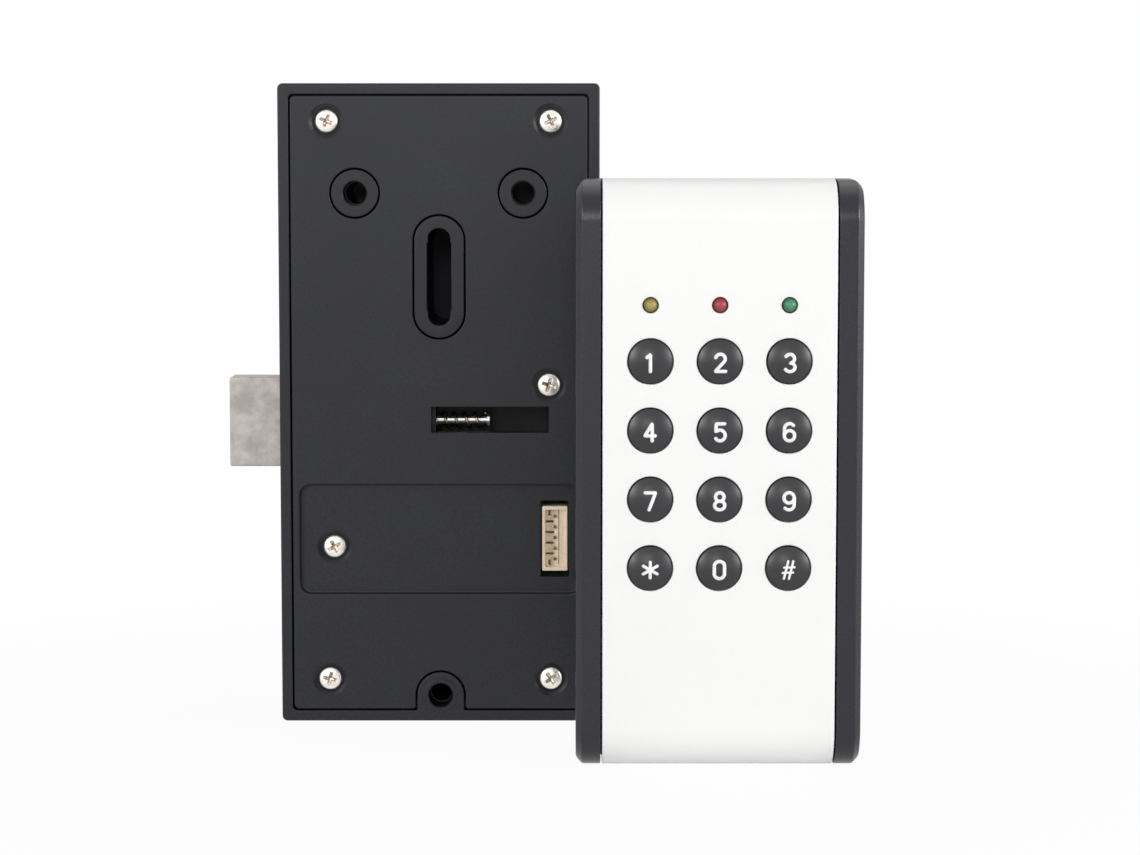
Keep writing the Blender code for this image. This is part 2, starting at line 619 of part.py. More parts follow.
def lock_cover(shop):
    """The cover plate on the mounting side, with its window, recess and cut-outs."""
    half = COVER_WIDTH / 2
    bottom = (LOCK_HEIGHT - COVER_HEIGHT) / 2
    cover = shop.make("lock_cover", plate(
        lock_point(-half, 0, bottom), lock_point(half, COVER_THICKNESS - GAP, bottom + COVER_HEIGHT),
        COVER_CORNER_RADIUS), "black_abs")
    recess_half = RECESS_WIDTH / 2
    shop.cut(cover, plate(
        lock_point(-recess_half, -OVERRUN, RECESS_CENTRE_HEIGHT - RECESS_HEIGHT / 2),
        lock_point(recess_half, RECESS_DEPTH, RECESS_CENTRE_HEIGHT + RECESS_HEIGHT / 2),
        RECESS_CORNER_RADIUS))
    shop.cut(cover, block(
        lock_point(WINDOW_START, -OVERRUN, WINDOW_CENTRE_HEIGHT - WINDOW_HEIGHT / 2),
        lock_point(WINDOW_END, COVER_THICKNESS + OVERRUN,
                   WINDOW_CENTRE_HEIGHT + WINDOW_HEIGHT / 2)))
    shop.cut(cover, block(
        lock_point(SOCKET_SIDE - CUTOUT_WIDTH / 2, 0, RECESS_CENTRE_HEIGHT - CUTOUT_HEIGHT / 2),
        lock_point(SOCKET_SIDE + CUTOUT_WIDTH / 2, COVER_THICKNESS + OVERRUN,
                   RECESS_CENTRE_HEIGHT + CUTOUT_HEIGHT / 2)))
    collar = 2 * (SLOT_WALL + GAP)
    shop.cut(cover, obround(lock_point(0, -OVERRUN, SLOT_CENTRE_HEIGHT),
                            lock_point(0, COVER_THICKNESS + OVERRUN, SLOT_CENTRE_HEIGHT),
                            SLOT_WIDTH + collar, SLOT_HEIGHT + collar))
    notch = POST_RADIUS + GAP
    through = COVER_THICKNESS + OVERRUN
    shop.cut(cover, *[rod(lock_point(x, -OVERRUN, z), lock_point(x, through, z), notch)
                      for x, z in fixing_places()])
    shop.cut(cover, block(lock_point(-notch, -OVERRUN, 0),
                          lock_point(notch, through, FIXING_LOW_HEIGHT)))
    places = cover_screw_places()
    shop.cut(cover, *[rod(lock_point(x, surface - OVERRUN, z),
                          lock_point(x, surface + SCREW_POCKET_DEPTH, z), SCREW_POCKET_RADIUS)
                      for x, z, surface in places])
    shop.cut(cover, *[rod(lock_point(x, surface - SCREW_CHAMFER, z),
                          lock_point(x, surface + SCREW_CHAMFER, z),
                          SCREW_POCKET_RADIUS + 2 * SCREW_CHAMFER, SCREW_POCKET_RADIUS)
                      for x, z, surface in places])
    shop.cut(cover, *[rod(lock_point(x, surface, z), lock_point(x, through, z),
                          SCREW_SHANK_RADIUS + GAP, segments=SMALL_SEGMENTS)
                      for x, z, surface in places])
    return cover


def pan_screw(shop, name, seat, facing, head_radius, head_height, shank_length):
    """A pan-head screw whose head rests at seat and faces outwards."""
    rise = head_height - GAP
    profile = [
        (0, head_height),
        (head_radius * math.cos(math.pi / 3), head_height),
        (head_radius, rise / 2),
        (head_radius, 0),
        (SCREW_SHANK_RADIUS, 0),
        (SCREW_SHANK_RADIUS, SCREW_SHANK_RADIUS - shank_length),
        (0, -shank_length),
    ]
    return shop.turned(name, profile, seat, facing, "bright_steel", SMALL_SEGMENTS)


def lock_screws(shop):
    """The cover's screws and the circuit board's two screws."""
    for number, (x, z, surface) in enumerate(cover_screw_places(), 1):
        seat = lock_point(x, surface + SCREW_POCKET_DEPTH - GAP, z)
        pan_screw(shop, f"cover_screw_{number}", seat, FRONT, SCREW_HEAD_RADIUS,
                  SCREW_HEAD_HEIGHT, SCREW_SHANK_LENGTH)
    for number, (x, z) in enumerate(board_boss_places(), 1):
        pan_screw(shop, f"board_screw_{number}", lock_point(x, BOARD_DEPTH - GAP, z), FRONT,
                  SCREW_HEAD_RADIUS, SCREW_HEAD_HEIGHT, BOARD_THICKNESS + BOARD_BOSS_HEIGHT)


def bolt(shop):
    """The square bolt, whose inner end is a fork that straddles the motor."""
    low = lock_point(BOLT_TIP, BOLT_DEPTH, BOLT_CENTRE_HEIGHT - BOLT_HEIGHT / 2)
    high = lock_point(CARRIAGE_START - GAP, BOLT_DEPTH + BOLT_THICKNESS,
                      BOLT_CENTRE_HEIGHT + BOLT_HEIGHT / 2)
    geometry = block(low, high)
    round_edges(geometry, BOLT_EDGE_RADIUS, 2,
                lambda edge: all(abs(vertex.co.x - low.x) < MERGE for vertex in edge.verts))
    piece = shop.make("bolt", geometry, "bolt_steel")
    shop.cut(piece, block(
        lock_point(BOLT_TIP + BOLT_NOSE, BOLT_DEPTH - OVERRUN, BOLT_CENTRE_HEIGHT - FORK_HALF_HEIGHT),
        lock_point(CARRIAGE_START + OVERRUN, BOLT_DEPTH + BOLT_THICKNESS + OVERRUN,
                   BOLT_CENTRE_HEIGHT + FORK_HALF_HEIGHT)))
    for z in peg_heights():
        shop.cut(piece, rod(
            lock_point(CARRIAGE_START - CARRIAGE_PEG_LENGTH - 2 * GAP, BOLT_AXIS_DEPTH, z),
            lock_point(CARRIAGE_START + OVERRUN, BOLT_AXIS_DEPTH, z),
            CARRIAGE_PEG_RADIUS + GAP, segments=SMALL_SEGMENTS))
    move_origin(piece, lock_point(BOLT_TIP, BOLT_AXIS_DEPTH, BOLT_CENTRE_HEIGHT))
    return piece


def peg_heights():
    """Heights of the two pegs, in the middle of the fork's arms."""
    reach = (BOLT_HEIGHT / 2 + FORK_HALF_HEIGHT) / 2
    return [BOLT_CENTRE_HEIGHT - reach, BOLT_CENTRE_HEIGHT + reach]


def bolt_carriage(shop):
    """The yoke that joins the fork's arms and carries the pin that the coil drives."""
    end = CARRIAGE_START + CARRIAGE_LENGTH
    piece = shop.make("bolt_carriage", block(
        lock_point(CARRIAGE_START, BOLT_DEPTH, BOLT_CENTRE_HEIGHT - BOLT_HEIGHT / 2),
        lock_point(end, BOLT_DEPTH + BOLT_THICKNESS, BOLT_CENTRE_HEIGHT + BOLT_HEIGHT / 2)),
        "dark_nylon")
    for z in peg_heights():
        shop.join(piece, rod(lock_point(CARRIAGE_START - CARRIAGE_PEG_LENGTH, BOLT_AXIS_DEPTH, z),
                             lock_point(CARRIAGE_START + OVERRUN, BOLT_AXIS_DEPTH, z),
                             CARRIAGE_PEG_RADIUS, segments=SMALL_SEGMENTS))
    shop.cut(piece, rod(lock_point(CARRIAGE_START - OVERRUN, BOLT_AXIS_DEPTH, BOLT_CENTRE_HEIGHT),
                        lock_point(end + OVERRUN, BOLT_AXIS_DEPTH, BOLT_CENTRE_HEIGHT),
                        CARRIAGE_BORE_RADIUS))
    tip = COIL_RADIUS - COIL_WIRE_RADIUS
    shop.join(piece, rod(
        lock_point(DRIVE_PIN_X, BOLT_AXIS_DEPTH, BOLT_CENTRE_HEIGHT + tip),
        lock_point(DRIVE_PIN_X, BOLT_AXIS_DEPTH,
                   BOLT_CENTRE_HEIGHT + CARRIAGE_BORE_RADIUS + OVERRUN),
        DRIVE_PIN_RADIUS, segments=SMALL_SEGMENTS))
    move_origin(piece, lock_point(CARRIAGE_START, BOLT_AXIS_DEPTH, BOLT_CENTRE_HEIGHT))
    return piece


def coil_points():
    """Points of the drive coil's wire about its own axis, the ends straight along it.

    The helix is right-handed about +X, and its phase puts the drive pin, which comes in from
    above, midway between two turns.
    """
    lead = 2 * COIL_WIRE_RADIUS
    turns = (COIL_END - COIL_START - 2 * lead) / COIL_PITCH
    count = math.ceil(turns * COIL_POINTS_PER_TURN)
    points = []
    for step in range(count + 1):
        x = COIL_START + lead + (COIL_END - COIL_START - 2 * lead) * step / count
        angle = math.pi + 2 * math.pi * (x - DRIVE_PIN_X) / COIL_PITCH
        points.append(Vector((x, -COIL_RADIUS * math.sin(angle), COIL_RADIUS * math.cos(angle))))
    shift = Vector((lead, 0, 0))
    return [points[0] - shift, *points, points[-1] + shift]


def least_coil_gap(points):
    """The least distance between the surfaces of stretches a half turn or more apart."""
    apart = COIL_POINTS_PER_TURN // 2
    gaps = [(first - second).length - 2 * COIL_WIRE_RADIUS
            for place, first in enumerate(points) for second in points[place + apart:]]
    return min(gaps)


def drive_coil(shop):
    """The wound drive coil, one unbroken wire round the output shaft."""
    points = coil_points()
    curve = bpy.data.curves.new("drive_coil", "CURVE")
    curve.dimensions = "3D"
    curve.bevel_depth = COIL_WIRE_RADIUS
    curve.bevel_resolution = 1
    curve.use_fill_caps = True
    spline = curve.splines.new("POLY")
    spline.points.add(len(points) - 1)
    for target, point in zip(spline.points, points):
        target.co = (*point, 1)
    piece = bpy.data.objects.new("drive_coil", curve)
    piece.location = lock_point(0, BOLT_AXIS_DEPTH, BOLT_CENTRE_HEIGHT)
    shop.parts.objects.link(piece)
    print(f"least gap between the coil's turns: {least_coil_gap(points) * 1000:.2f} mm")
    return shop.dress(piece, "bright_steel")


def drive_shaft(shop):
    """The gearbox's output shaft, with a collar at each end of the coil."""
    start = GEARBOX_START + GEARBOX_LENGTH + GAP
    collar = COIL_START - GAP
    end = COIL_END + GAP + SHAFT_COLLAR_LENGTH
    profile = [
        (0, end),
        (SHAFT_COLLAR_RADIUS, end),
        (SHAFT_COLLAR_RADIUS, COIL_END + GAP),
        (SHAFT_RADIUS, COIL_END + GAP),
        (SHAFT_RADIUS, collar),
        (SHAFT_COLLAR_RADIUS, collar),
        (SHAFT_COLLAR_RADIUS, start),
        (0, start),
    ]
    return shop.turned("drive_shaft", profile, lock_point(0, BOLT_AXIS_DEPTH, BOLT_CENTRE_HEIGHT),
                       RIGHT, "bright_steel", SMALL_SEGMENTS)


def motor(shop):
    """The motor's can, flattened towards the cover, and the gearbox on its end."""
    start = lock_point(MOTOR_START, BOLT_AXIS_DEPTH, BOLT_CENTRE_HEIGHT)
    can = shop.make("motor", rod(start, start + RIGHT * MOTOR_LENGTH, MOTOR_RADIUS), "motor_steel")
    flat = lock_point(MOTOR_START - OVERRUN, BOLT_DEPTH - OVERRUN,
                      BOLT_CENTRE_HEIGHT - MOTOR_RADIUS)
    shop.cut(can, block(flat, lock_point(MOTOR_START + MOTOR_LENGTH + OVERRUN,
                                         BOLT_AXIS_DEPTH - MOTOR_RADIUS + MOTOR_FLAT,
                                         BOLT_CENTRE_HEIGHT + MOTOR_RADIUS)))
    start = lock_point(GEARBOX_START, BOLT_AXIS_DEPTH, BOLT_CENTRE_HEIGHT)
    shop.make("gearbox", rod(start, start + RIGHT * GEARBOX_LENGTH, GEARBOX_RADIUS), "dark_nylon")


def socket(shop, name, base, facing, across, along):
    """An open-topped connector shell standing on a board, with a keyway in one long side.

    base is the middle of its foot, facing the way its mouth looks, across its short side and
    along its long side.
    """
    height = SOCKET_HEIGHT

    def corner(low_across, low_along, rise, high_across, high_along, top):
        first = base + across * low_across + along * low_along + facing * rise
        second = base + across * high_across + along * high_along + facing * top
        low = Vector(min(pair) for pair in zip(first, second))
        high = Vector(max(pair) for pair in zip(first, second))
        return block(low, high)

    half_width = SOCKET_WIDTH / 2
    half_length = SOCKET_LENGTH / 2
    shell = shop.make(name, corner(-half_width, -half_length, 0, half_width, half_length, height),
                      "cream_nylon")
    shop.cut(shell, corner(SOCKET_WALL - half_width, SOCKET_WALL - half_length, SOCKET_FLOOR,
                           half_width - SOCKET_WALL, half_length - SOCKET_WALL, height + OVERRUN))
    keyway = (SOCKET_PINS - 2) * PIN_PITCH / 2
    for side in (-1, 1):
        shop.cut(shell, corner(-half_width - OVERRUN, side * keyway - SOCKET_KEYWAY_WIDTH / 2,
                               height / 2, 0, side * keyway + SOCKET_KEYWAY_WIDTH / 2,
                               height + OVERRUN))
    return shell


def pin_offsets():
    """Distances of the socket's pins from its middle."""
    return [(number - (SOCKET_PINS - 1) / 2) * PIN_PITCH for number in range(SOCKET_PINS)]


def lock_electrics(shop):
    """The bolt unit's circuit board, its socket and the socket's pins."""
    board = shop.make("lock_board", block(
        lock_point(-LOCK_BOARD_LEFT, BOARD_DEPTH, LOCK_BOARD_BOTTOM),
        lock_point(LOCK_BOARD_RIGHT, BOARD_DEPTH + BOARD_THICKNESS, LOCK_BOARD_TOP)),
        "board_green")
    for x, z in board_boss_places():
        shop.cut(board, rod(lock_point(x, BOARD_DEPTH - OVERRUN, z),
                            lock_point(x, BOARD_DEPTH + BOARD_THICKNESS + OVERRUN, z),
                            SCREW_SHANK_RADIUS + GAP, segments=SMALL_SEGMENTS))
    base = lock_point(SOCKET_SIDE, BOARD_DEPTH - GAP, RECESS_CENTRE_HEIGHT)
    up = Vector((0, 0, 1))
    shell = socket(shop, "lock_socket", base, FRONT, RIGHT, up)
    hole = SOCKET_PIN_HALF + GAP
    tip = SOCKET_HEIGHT - PIN_SHORTFALL
    for number, offset in enumerate(pin_offsets(), 1):
        middle = base + up * offset
        shop.cut(shell, block(middle + Vector((-hole, -SOCKET_HEIGHT, -hole)),
                              middle + Vector((hole, OVERRUN, hole))))
        shop.make(f"socket_pin_{number}", block(
            middle + Vector((-SOCKET_PIN_HALF, -tip, -SOCKET_PIN_HALF)),
            middle + Vector((SOCKET_PIN_HALF, 0, SOCKET_PIN_HALF))), "bright_steel")


def cell_places():
    """Distances of the cells from the bolt unit's centre line."""
    return [(number - (CELL_COUNT - 1) / 2) * CELL_PITCH for number in range(CELL_COUNT)]


def batteries(shop):
    """The four cells, head up and head down in turn, their contacts and the bay's lid."""
    middle = BAY_BOTTOM + BAY_HEIGHT / 2
    shoulder = CELL_LENGTH / 2 - CELL_NUB_HEIGHT
    profile = [
        (0, CELL_LENGTH / 2),
        (CELL_NUB_RADIUS, CELL_LENGTH / 2),
        (CELL_NUB_RADIUS, shoulder),
        (CELL_RADIUS - CELL_EDGE, shoulder),
        (CELL_RADIUS, shoulder - CELL_EDGE),
        (CELL_RADIUS, CELL_EDGE - CELL_LENGTH / 2),
        (CELL_RADIUS - CELL_EDGE, -CELL_LENGTH / 2),
        (0, -CELL_LENGTH / 2),
    ]
    for number, x in enumerate(cell_places()):
        facing = Vector((0, 0, 1 if number % 2 else -1))
        shop.turned(f"battery_cell_{number + 1}", profile, lock_point(x, CELL_DEPTH, middle), facing,
                    "cell_jacket", SMALL_SEGMENTS)
    cells = cell_places()
    battery_contact(shop, "contact_low_left", cells[:2], -1)
    battery_contact(shop, "contact_low_right", cells[2:], -1)
    battery_contact(shop, "contact_high_left", cells[:1], 1)
    battery_contact(shop, "contact_high_middle", cells[1:3], 1)
    battery_contact(shop, "contact_high_right", cells[3:], 1)


def battery_contact(shop, name, cells, side):
    """A contact plate at the bay's low end, side -1, or high end, side 1, for some cells."""
    middle = BAY_BOTTOM + BAY_HEIGHT / 2
    outer = middle + side * (BAY_HEIGHT / 2 - GAP)
    inner = outer - side * CONTACT_THICKNESS
    tip = inner - side * CONTACT_SPRING_HEIGHT
    piece = shop.make(name, block(
        lock_point(cells[0] - CONTACT_WIDTH / 2, CELL_DEPTH - CONTACT_HEIGHT / 2, min(inner, outer)),
        lock_point(cells[-1] + CONTACT_WIDTH / 2, CELL_DEPTH + CONTACT_HEIGHT / 2,
                   max(inner, outer))), "bright_steel")
    for x in cells:
        shop.join(piece, rod(lock_point(x, CELL_DEPTH, (inner + outer) / 2),
                             lock_point(x, CELL_DEPTH, tip), CONTACT_SPRING_RADIUS,
                             CONTACT_TIP_RADIUS, segments=SMALL_SEGMENTS))


def battery_lid(shop):
    """The lid over the battery bay, with grip grooves near its lower edge."""
    half = BAY_WIDTH / 2 + LID_LEDGE
    low = BAY_BOTTOM - LID_LEDGE
    high = BAY_BOTTOM + BAY_HEIGHT + LID_LEDGE
    lid = shop.make("battery_lid", plate(lock_point(-half, LID_DEPTH, low),
                                         lock_point(half, LOCK_DEPTH, high),
                                         LID_CORNER_RADIUS - GAP), "black_abs")
    for number in range(LID_GROOVES):
        z = low + LID_GROOVE_INSET + number * LID_GROOVE_PITCH
        shop.cut(lid, block(
            lock_point(-LID_GROOVE_LENGTH / 2, LOCK_DEPTH - LID_GROOVE_DEPTH, z),
            lock_point(LID_GROOVE_LENGTH / 2, LOCK_DEPTH + OVERRUN, z + LID_GROOVE_WIDTH)))
    move_origin(lid, lock_point(0, LID_DEPTH, (low + high) / 2))


def key_places():
    """Names and centres of the keys, row by row from the top."""
    names = ["1", "2", "3", "4", "5", "6", "7", "8", "9", "star", "0", "hash"]
    places = []
    for number, name in enumerate(names):
        row, column = divmod(number, KEY_COLUMNS)
        x = (column - (KEY_COLUMNS - 1) / 2) * KEY_PITCH
        z = KEY_LOW_HEIGHT + (KEY_ROWS - 1 - row) * KEY_PITCH
        places.append((name, x, z))
    return places


def lamp_places():
    """Names, paints and centres of the three lamps."""
    paints = ["yellow", "red", "green"]
    return [(name, name + "_epoxy", (number - 1) * KEY_PITCH) for number, name in enumerate(paints)]


def end_rounded(low, high, radius):
    """A box whose two front edges along X, at the top and the bottom, are rounded."""
    front = low.y

    def test(edge):
        return runs_along(0)(edge) and all(abs(vertex.co.y - front) < MERGE for vertex in edge.verts)

    return round_edges(block(low, high), radius, KEYPAD_END_STEPS, test)


def keypad_casing(shop):
    """The black casing: two bevelled cheeks joined by the slab at the back."""
    half = KEYPAD_WIDTH / 2
    low = keypad_point(-half, 0, 0)
    high = keypad_point(half, KEYPAD_DEPTH, KEYPAD_HEIGHT)
    geometry = end_rounded(low, high, KEYPAD_END_RADIUS)
    round_edges(geometry, CHEEK_BEVEL, 2,
                lambda edge: all(abs(vertex.co.x - low.x) < MERGE for vertex in edge.verts)
                or all(abs(vertex.co.x - high.x) < MERGE for vertex in edge.verts))
    casing = shop.make("keypad_casing", geometry, "black_cheek")
    channel = FACE_WIDTH / 2 + GAP
    shop.cut(casing, block(keypad_point(-channel, -OVERRUN, -OVERRUN),
                           keypad_point(channel, SLAB_DEPTH, KEYPAD_HEIGHT + OVERRUN)))
    front = SLAB_DEPTH - OVERRUN
    through = KEYPAD_DEPTH + OVERRUN
    shop.join(casing, *[rod(keypad_point(x, KEYPAD_BOARD_DEPTH + BOARD_THICKNESS + GAP, z),
                            keypad_point(x, SLAB_DEPTH + OVERRUN, z), BOARD_BOSS_RADIUS,
                            segments=SMALL_SEGMENTS) for x, z in keypad_boss_places()])
    inserts = [rod(keypad_point(x, front, z), keypad_point(x, through, z), INSERT_RADIUS + GAP)
               for x, z in fixing_places()]
    shanks = [rod(keypad_point(0, front, z), keypad_point(0, through, z),
                  SCREW_SHANK_RADIUS + GAP, segments=SMALL_SEGMENTS)
              for z in case_screw_heights()]
    outlet = block(keypad_point(-SOCKET_LENGTH / 2 - GAP, front,
                                KEYPAD_SOCKET_HEIGHT - SOCKET_WIDTH / 2 - GAP),
                   keypad_point(SOCKET_LENGTH / 2 + GAP, through,
                                KEYPAD_SOCKET_HEIGHT + SOCKET_WIDTH / 2 + GAP))
    shop.cut(casing, *inserts, *shanks, outlet)
    shop.cut(casing, *[rod(keypad_point(0, KEYPAD_DEPTH - CASE_SCREW_POCKET, z),
                           keypad_point(0, through, z), SCREW_POCKET_RADIUS)
                       for z in case_screw_heights()])


def keypad_boss_places():
    """Centres of the four bosses that carry the keypad's circuit board."""
    side = KEYPAD_BOARD_WIDTH / 2 - KEYPAD_BOSS_INSET
    low = KEYPAD_BOARD_BOTTOM + KEYPAD_BOSS_INSET
    high = KEYPAD_BOARD_BOTTOM + KEYPAD_BOARD_HEIGHT - KEYPAD_BOSS_INSET
    return [(-side, low), (side, low), (-side, high), (side, high)]


def case_screw_heights():
    """Heights of the two screws that hold the white face to the casing."""
    return [CASE_SCREW_LOW, CASE_SCREW_HIGH]


def keypad_face(shop):
    """The white face, a shell bent round the top and bottom ends, with keys' and lamps' holes."""
    half = FACE_WIDTH / 2
    face = shop.make("keypad_face", end_rounded(
        keypad_point(-half, 0, 0), keypad_point(half, FACE_WRAP, KEYPAD_HEIGHT),
        KEYPAD_END_RADIUS), "white_abs")
    shop.cut(face, end_rounded(
        keypad_point(-half - OVERRUN, FACE_THICKNESS, FACE_THICKNESS),
        keypad_point(half + OVERRUN, FACE_WRAP + OVERRUN, KEYPAD_HEIGHT - FACE_THICKNESS),
        KEYPAD_END_RADIUS - FACE_THICKNESS))
    through = FACE_THICKNESS + OVERRUN
    holes = [rod(keypad_point(x, -OVERRUN, z), keypad_point(x, through, z), KEY_HOLE_RADIUS)
             for _, x, z in key_places()]
    holes += [rod(keypad_point(x, -OVERRUN, LAMP_HEIGHT), keypad_point(x, through, LAMP_HEIGHT),
                  LAMP_HOLE_RADIUS, segments=SMALL_SEGMENTS) for _, _, x in lamp_places()]
    shop.cut(face, *holes)
    shop.join(face, *[rod(keypad_point(0, FACE_THICKNESS / 2, z), keypad_point(0, FACE_WRAP, z),
                          CASE_BOSS_RADIUS, segments=SMALL_SEGMENTS)
                      for z in case_screw_heights()])
    shop.cut(face, *[rod(keypad_point(0, FACE_WRAP - CASE_SCREW_LENGTH, z),
                         keypad_point(0, FACE_WRAP + OVERRUN, z),
                         SCREW_SHANK_RADIUS + GAP, segments=SMALL_SEGMENTS)
                     for z in case_screw_heights()])


def key_profile():
    """Half outline of a key, from the top of its domed crown down to its flange."""
    points = []
    for step in range(KEY_CROWN_STEPS + 1):
        angle = math.pi / 2 * step / KEY_CROWN_STEPS
        radius = KEY_RADIUS * math.sin(angle)
        points.append((radius, KEY_PROUD - KEY_CROWN * (1 - math.cos(angle))))
    points += [
        (KEY_RADIUS, -KEY_FLANGE_DEPTH),
        (KEY_FLANGE_RADIUS, -KEY_FLANGE_DEPTH),
        (KEY_FLANGE_RADIUS, -KEY_BOTTOM),
        (0, -KEY_BOTTOM),
    ]
    return points


def keys_and_lamps(shop):
    """The twelve keys and the three lamps."""
    for name, x, z in key_places():
        shop.turned(f"key_{name}", key_profile(), keypad_point(x, 0, z), FRONT, "key_plastic")
    dome = [(LAMP_RADIUS * math.sin(angle), LAMP_PROUD - LAMP_RADIUS * (1 - math.cos(angle)))
            for angle in (0, math.pi / 6, math.pi / 3, math.pi / 2)]
    foot = -LAMP_FLANGE_THICKNESS - KEY_FLANGE_DEPTH
    profile = dome + [
        (LAMP_RADIUS, -KEY_FLANGE_DEPTH),
        (LAMP_FLANGE_RADIUS, -KEY_FLANGE_DEPTH),
        (LAMP_FLANGE_RADIUS, foot),
        (0, foot),
    ]
    for name, paint, x in lamp_places():
        lamp = shop.turned(f"lamp_{name}", profile, keypad_point(x, 0, LAMP_HEIGHT), FRONT, paint,
                           SMALL_SEGMENTS)
        for side in (-1, 1):
            leg = x + side * LAMP_LEG_SPACING / 2
            shop.join(lamp, rod(keypad_point(leg, -foot - GAP, LAMP_HEIGHT),
                                keypad_point(leg, KEYPAD_BOARD_DEPTH - GAP, LAMP_HEIGHT),
                                LAMP_LEG_RADIUS, segments=SMALL_SEGMENTS // 2))


def keypad_inside(shop):
    """The keys' rubber mat, the circuit board, its buzzer and its socket."""
    span_x = (KEY_COLUMNS - 1) * KEY_PITCH / 2 + MAT_MARGIN
    low = KEY_LOW_HEIGHT - MAT_MARGIN
    high = KEY_LOW_HEIGHT + (KEY_ROWS - 1) * KEY_PITCH + MAT_MARGIN
    mat = shop.make("key_mat", block(keypad_point(-span_x, MAT_SHEET_DEPTH, low),
                                     keypad_point(span_x, MAT_SHEET_DEPTH + MAT_THICKNESS, high)),
                    "silicone")
    shop.join(mat, *[rod(keypad_point(x, MAT_SHEET_DEPTH + MAT_THICKNESS / 2, z),
                         keypad_point(x, MAT_TOP, z), MAT_DOME_RADIUS, MAT_DOME_TOP_RADIUS,
                         segments=SMALL_SEGMENTS) for _, x, z in key_places()])
    half = KEYPAD_BOARD_WIDTH / 2
    shop.make("keypad_board", block(
        keypad_point(-half, KEYPAD_BOARD_DEPTH, KEYPAD_BOARD_BOTTOM),
        keypad_point(half, KEYPAD_BOARD_DEPTH + BOARD_THICKNESS,
                     KEYPAD_BOARD_BOTTOM + KEYPAD_BOARD_HEIGHT)), "board_green")
    back = KEYPAD_BOARD_DEPTH + BOARD_THICKNESS + GAP
    shop.make("buzzer", rod(keypad_point(0, back, BUZZER_CENTRE_HEIGHT),
                            keypad_point(0, back + BUZZER_HEIGHT, BUZZER_CENTRE_HEIGHT),
                            BUZZER_RADIUS), "dark_nylon")
    socket(shop, "keypad_socket", keypad_point(0, back, KEYPAD_SOCKET_HEIGHT), BACK,
           Vector((0, 0, 1)), RIGHT)


def keypad_fixings(shop):
    """The three brass inserts in the back and the two screws that hold the face."""
    for number, (x, z) in enumerate(fixing_places(), 1):
        outer = keypad_point(x, KEYPAD_DEPTH, z)
        insert = shop.make(f"brass_insert_{number}", rod(outer, outer + FRONT * INSERT_LENGTH,
                                                         INSERT_RADIUS), "brass")
        shop.cut(insert, rod(outer + BACK * OVERRUN, outer + FRONT * (INSERT_LENGTH + OVERRUN),
                             INSERT_BORE_RADIUS, segments=SMALL_SEGMENTS))
    for number, z in enumerate(case_screw_heights(), 1):
        seat = keypad_point(0, KEYPAD_DEPTH - CASE_SCREW_POCKET + GAP, z)
        pan_screw(shop, f"case_screw_{number}", seat, BACK, SCREW_HEAD_RADIUS, SCREW_HEAD_HEIGHT,
                  CASE_SCREW_LENGTH)


def build():
    """Build both units."""
    clear_scene()
    shop = Workshop("cabinet_lock")
    lock_casing(shop)
    lock_cover(shop)
    lock_screws(shop)
    bolt(shop)
    bolt_carriage(shop)
    drive_coil(shop)
    drive_shaft(shop)
    motor(shop)
    lock_electrics(shop)
    batteries(shop)
    battery_lid(shop)
    keypad_casing(shop)
    keypad_face(shop)
    keys_and_lamps(shop)
    keypad_inside(shop)
    keypad_fixings(shop)


build()
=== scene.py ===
"""Looks of the electronic cabinet lock: a bolt unit and its keypad, dressed round the frame.

Outlines, profiles and sizes are in millimetres, and a piece's mesh is turned to metres when it is
made. X runs from the bolt's tip to the keypad, Y from the keys to the bolt unit's room side, and
Z is up. A depth is measured along +Y from a unit's own front plane.
"""
from __future__ import annotations

import logging
from dataclasses import dataclass, field
from enum import Enum
from math import pi, radians
from typing import NamedTuple

import bmesh
import bpy
import numpy as np
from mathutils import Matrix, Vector
from mathutils.geometry import delaunay_2d_cdt


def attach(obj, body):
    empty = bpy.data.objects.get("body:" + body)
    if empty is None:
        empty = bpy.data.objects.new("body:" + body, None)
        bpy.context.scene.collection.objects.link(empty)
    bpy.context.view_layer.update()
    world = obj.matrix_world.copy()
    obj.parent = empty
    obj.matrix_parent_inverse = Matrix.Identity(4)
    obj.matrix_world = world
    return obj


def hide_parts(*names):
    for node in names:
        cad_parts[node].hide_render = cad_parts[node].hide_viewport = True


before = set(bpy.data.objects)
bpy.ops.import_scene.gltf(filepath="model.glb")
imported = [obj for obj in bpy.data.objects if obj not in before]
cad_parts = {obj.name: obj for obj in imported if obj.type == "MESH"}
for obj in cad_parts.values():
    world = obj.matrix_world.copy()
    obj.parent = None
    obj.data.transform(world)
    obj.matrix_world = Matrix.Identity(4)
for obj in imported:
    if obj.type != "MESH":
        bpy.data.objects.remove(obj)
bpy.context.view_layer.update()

# One millimetre, in metres.
MM = 0.001
# Points nearer than this become one: in a mesh in metres, and in an outline in millimetres.
WELD = 1e-6
NEAR = 0.005
# The same within a flat sheet's net, in millimetres.
NET_NEAR = 1e-5
# How much a half-round end falls short of half its width, so that a short straight stays: by a
# length, or in an arch by a share.
ALMOST = 0.001
ARCH_SHARE = 0.9999
# Edges in a circle: a bore's, a fine one and a hidden one.
CIRCLE_STEPS = 72
FINE_STEPS = 96
FEW_STEPS = 32
# Edges in an arc, from a small fillet to a half-round end.
SMALL_STEPS = 3
FILLET_STEPS = 5
ARC_STEPS = 8
CORNER_STEPS = 12
ARCH_STEPS = 16
LOOP_STEPS = 20
END_STEPS = 24
# An edge that bends more than this stays sharp: on most pieces, a screw and the coil's wire.
SHARP_ANGLE = radians(32)
SCREW_SHARP = radians(50)
WIRE_SHARP = radians(60)
# A face whose normal has this share along one axis is square to it.
FLAT = 1 - 1e-6
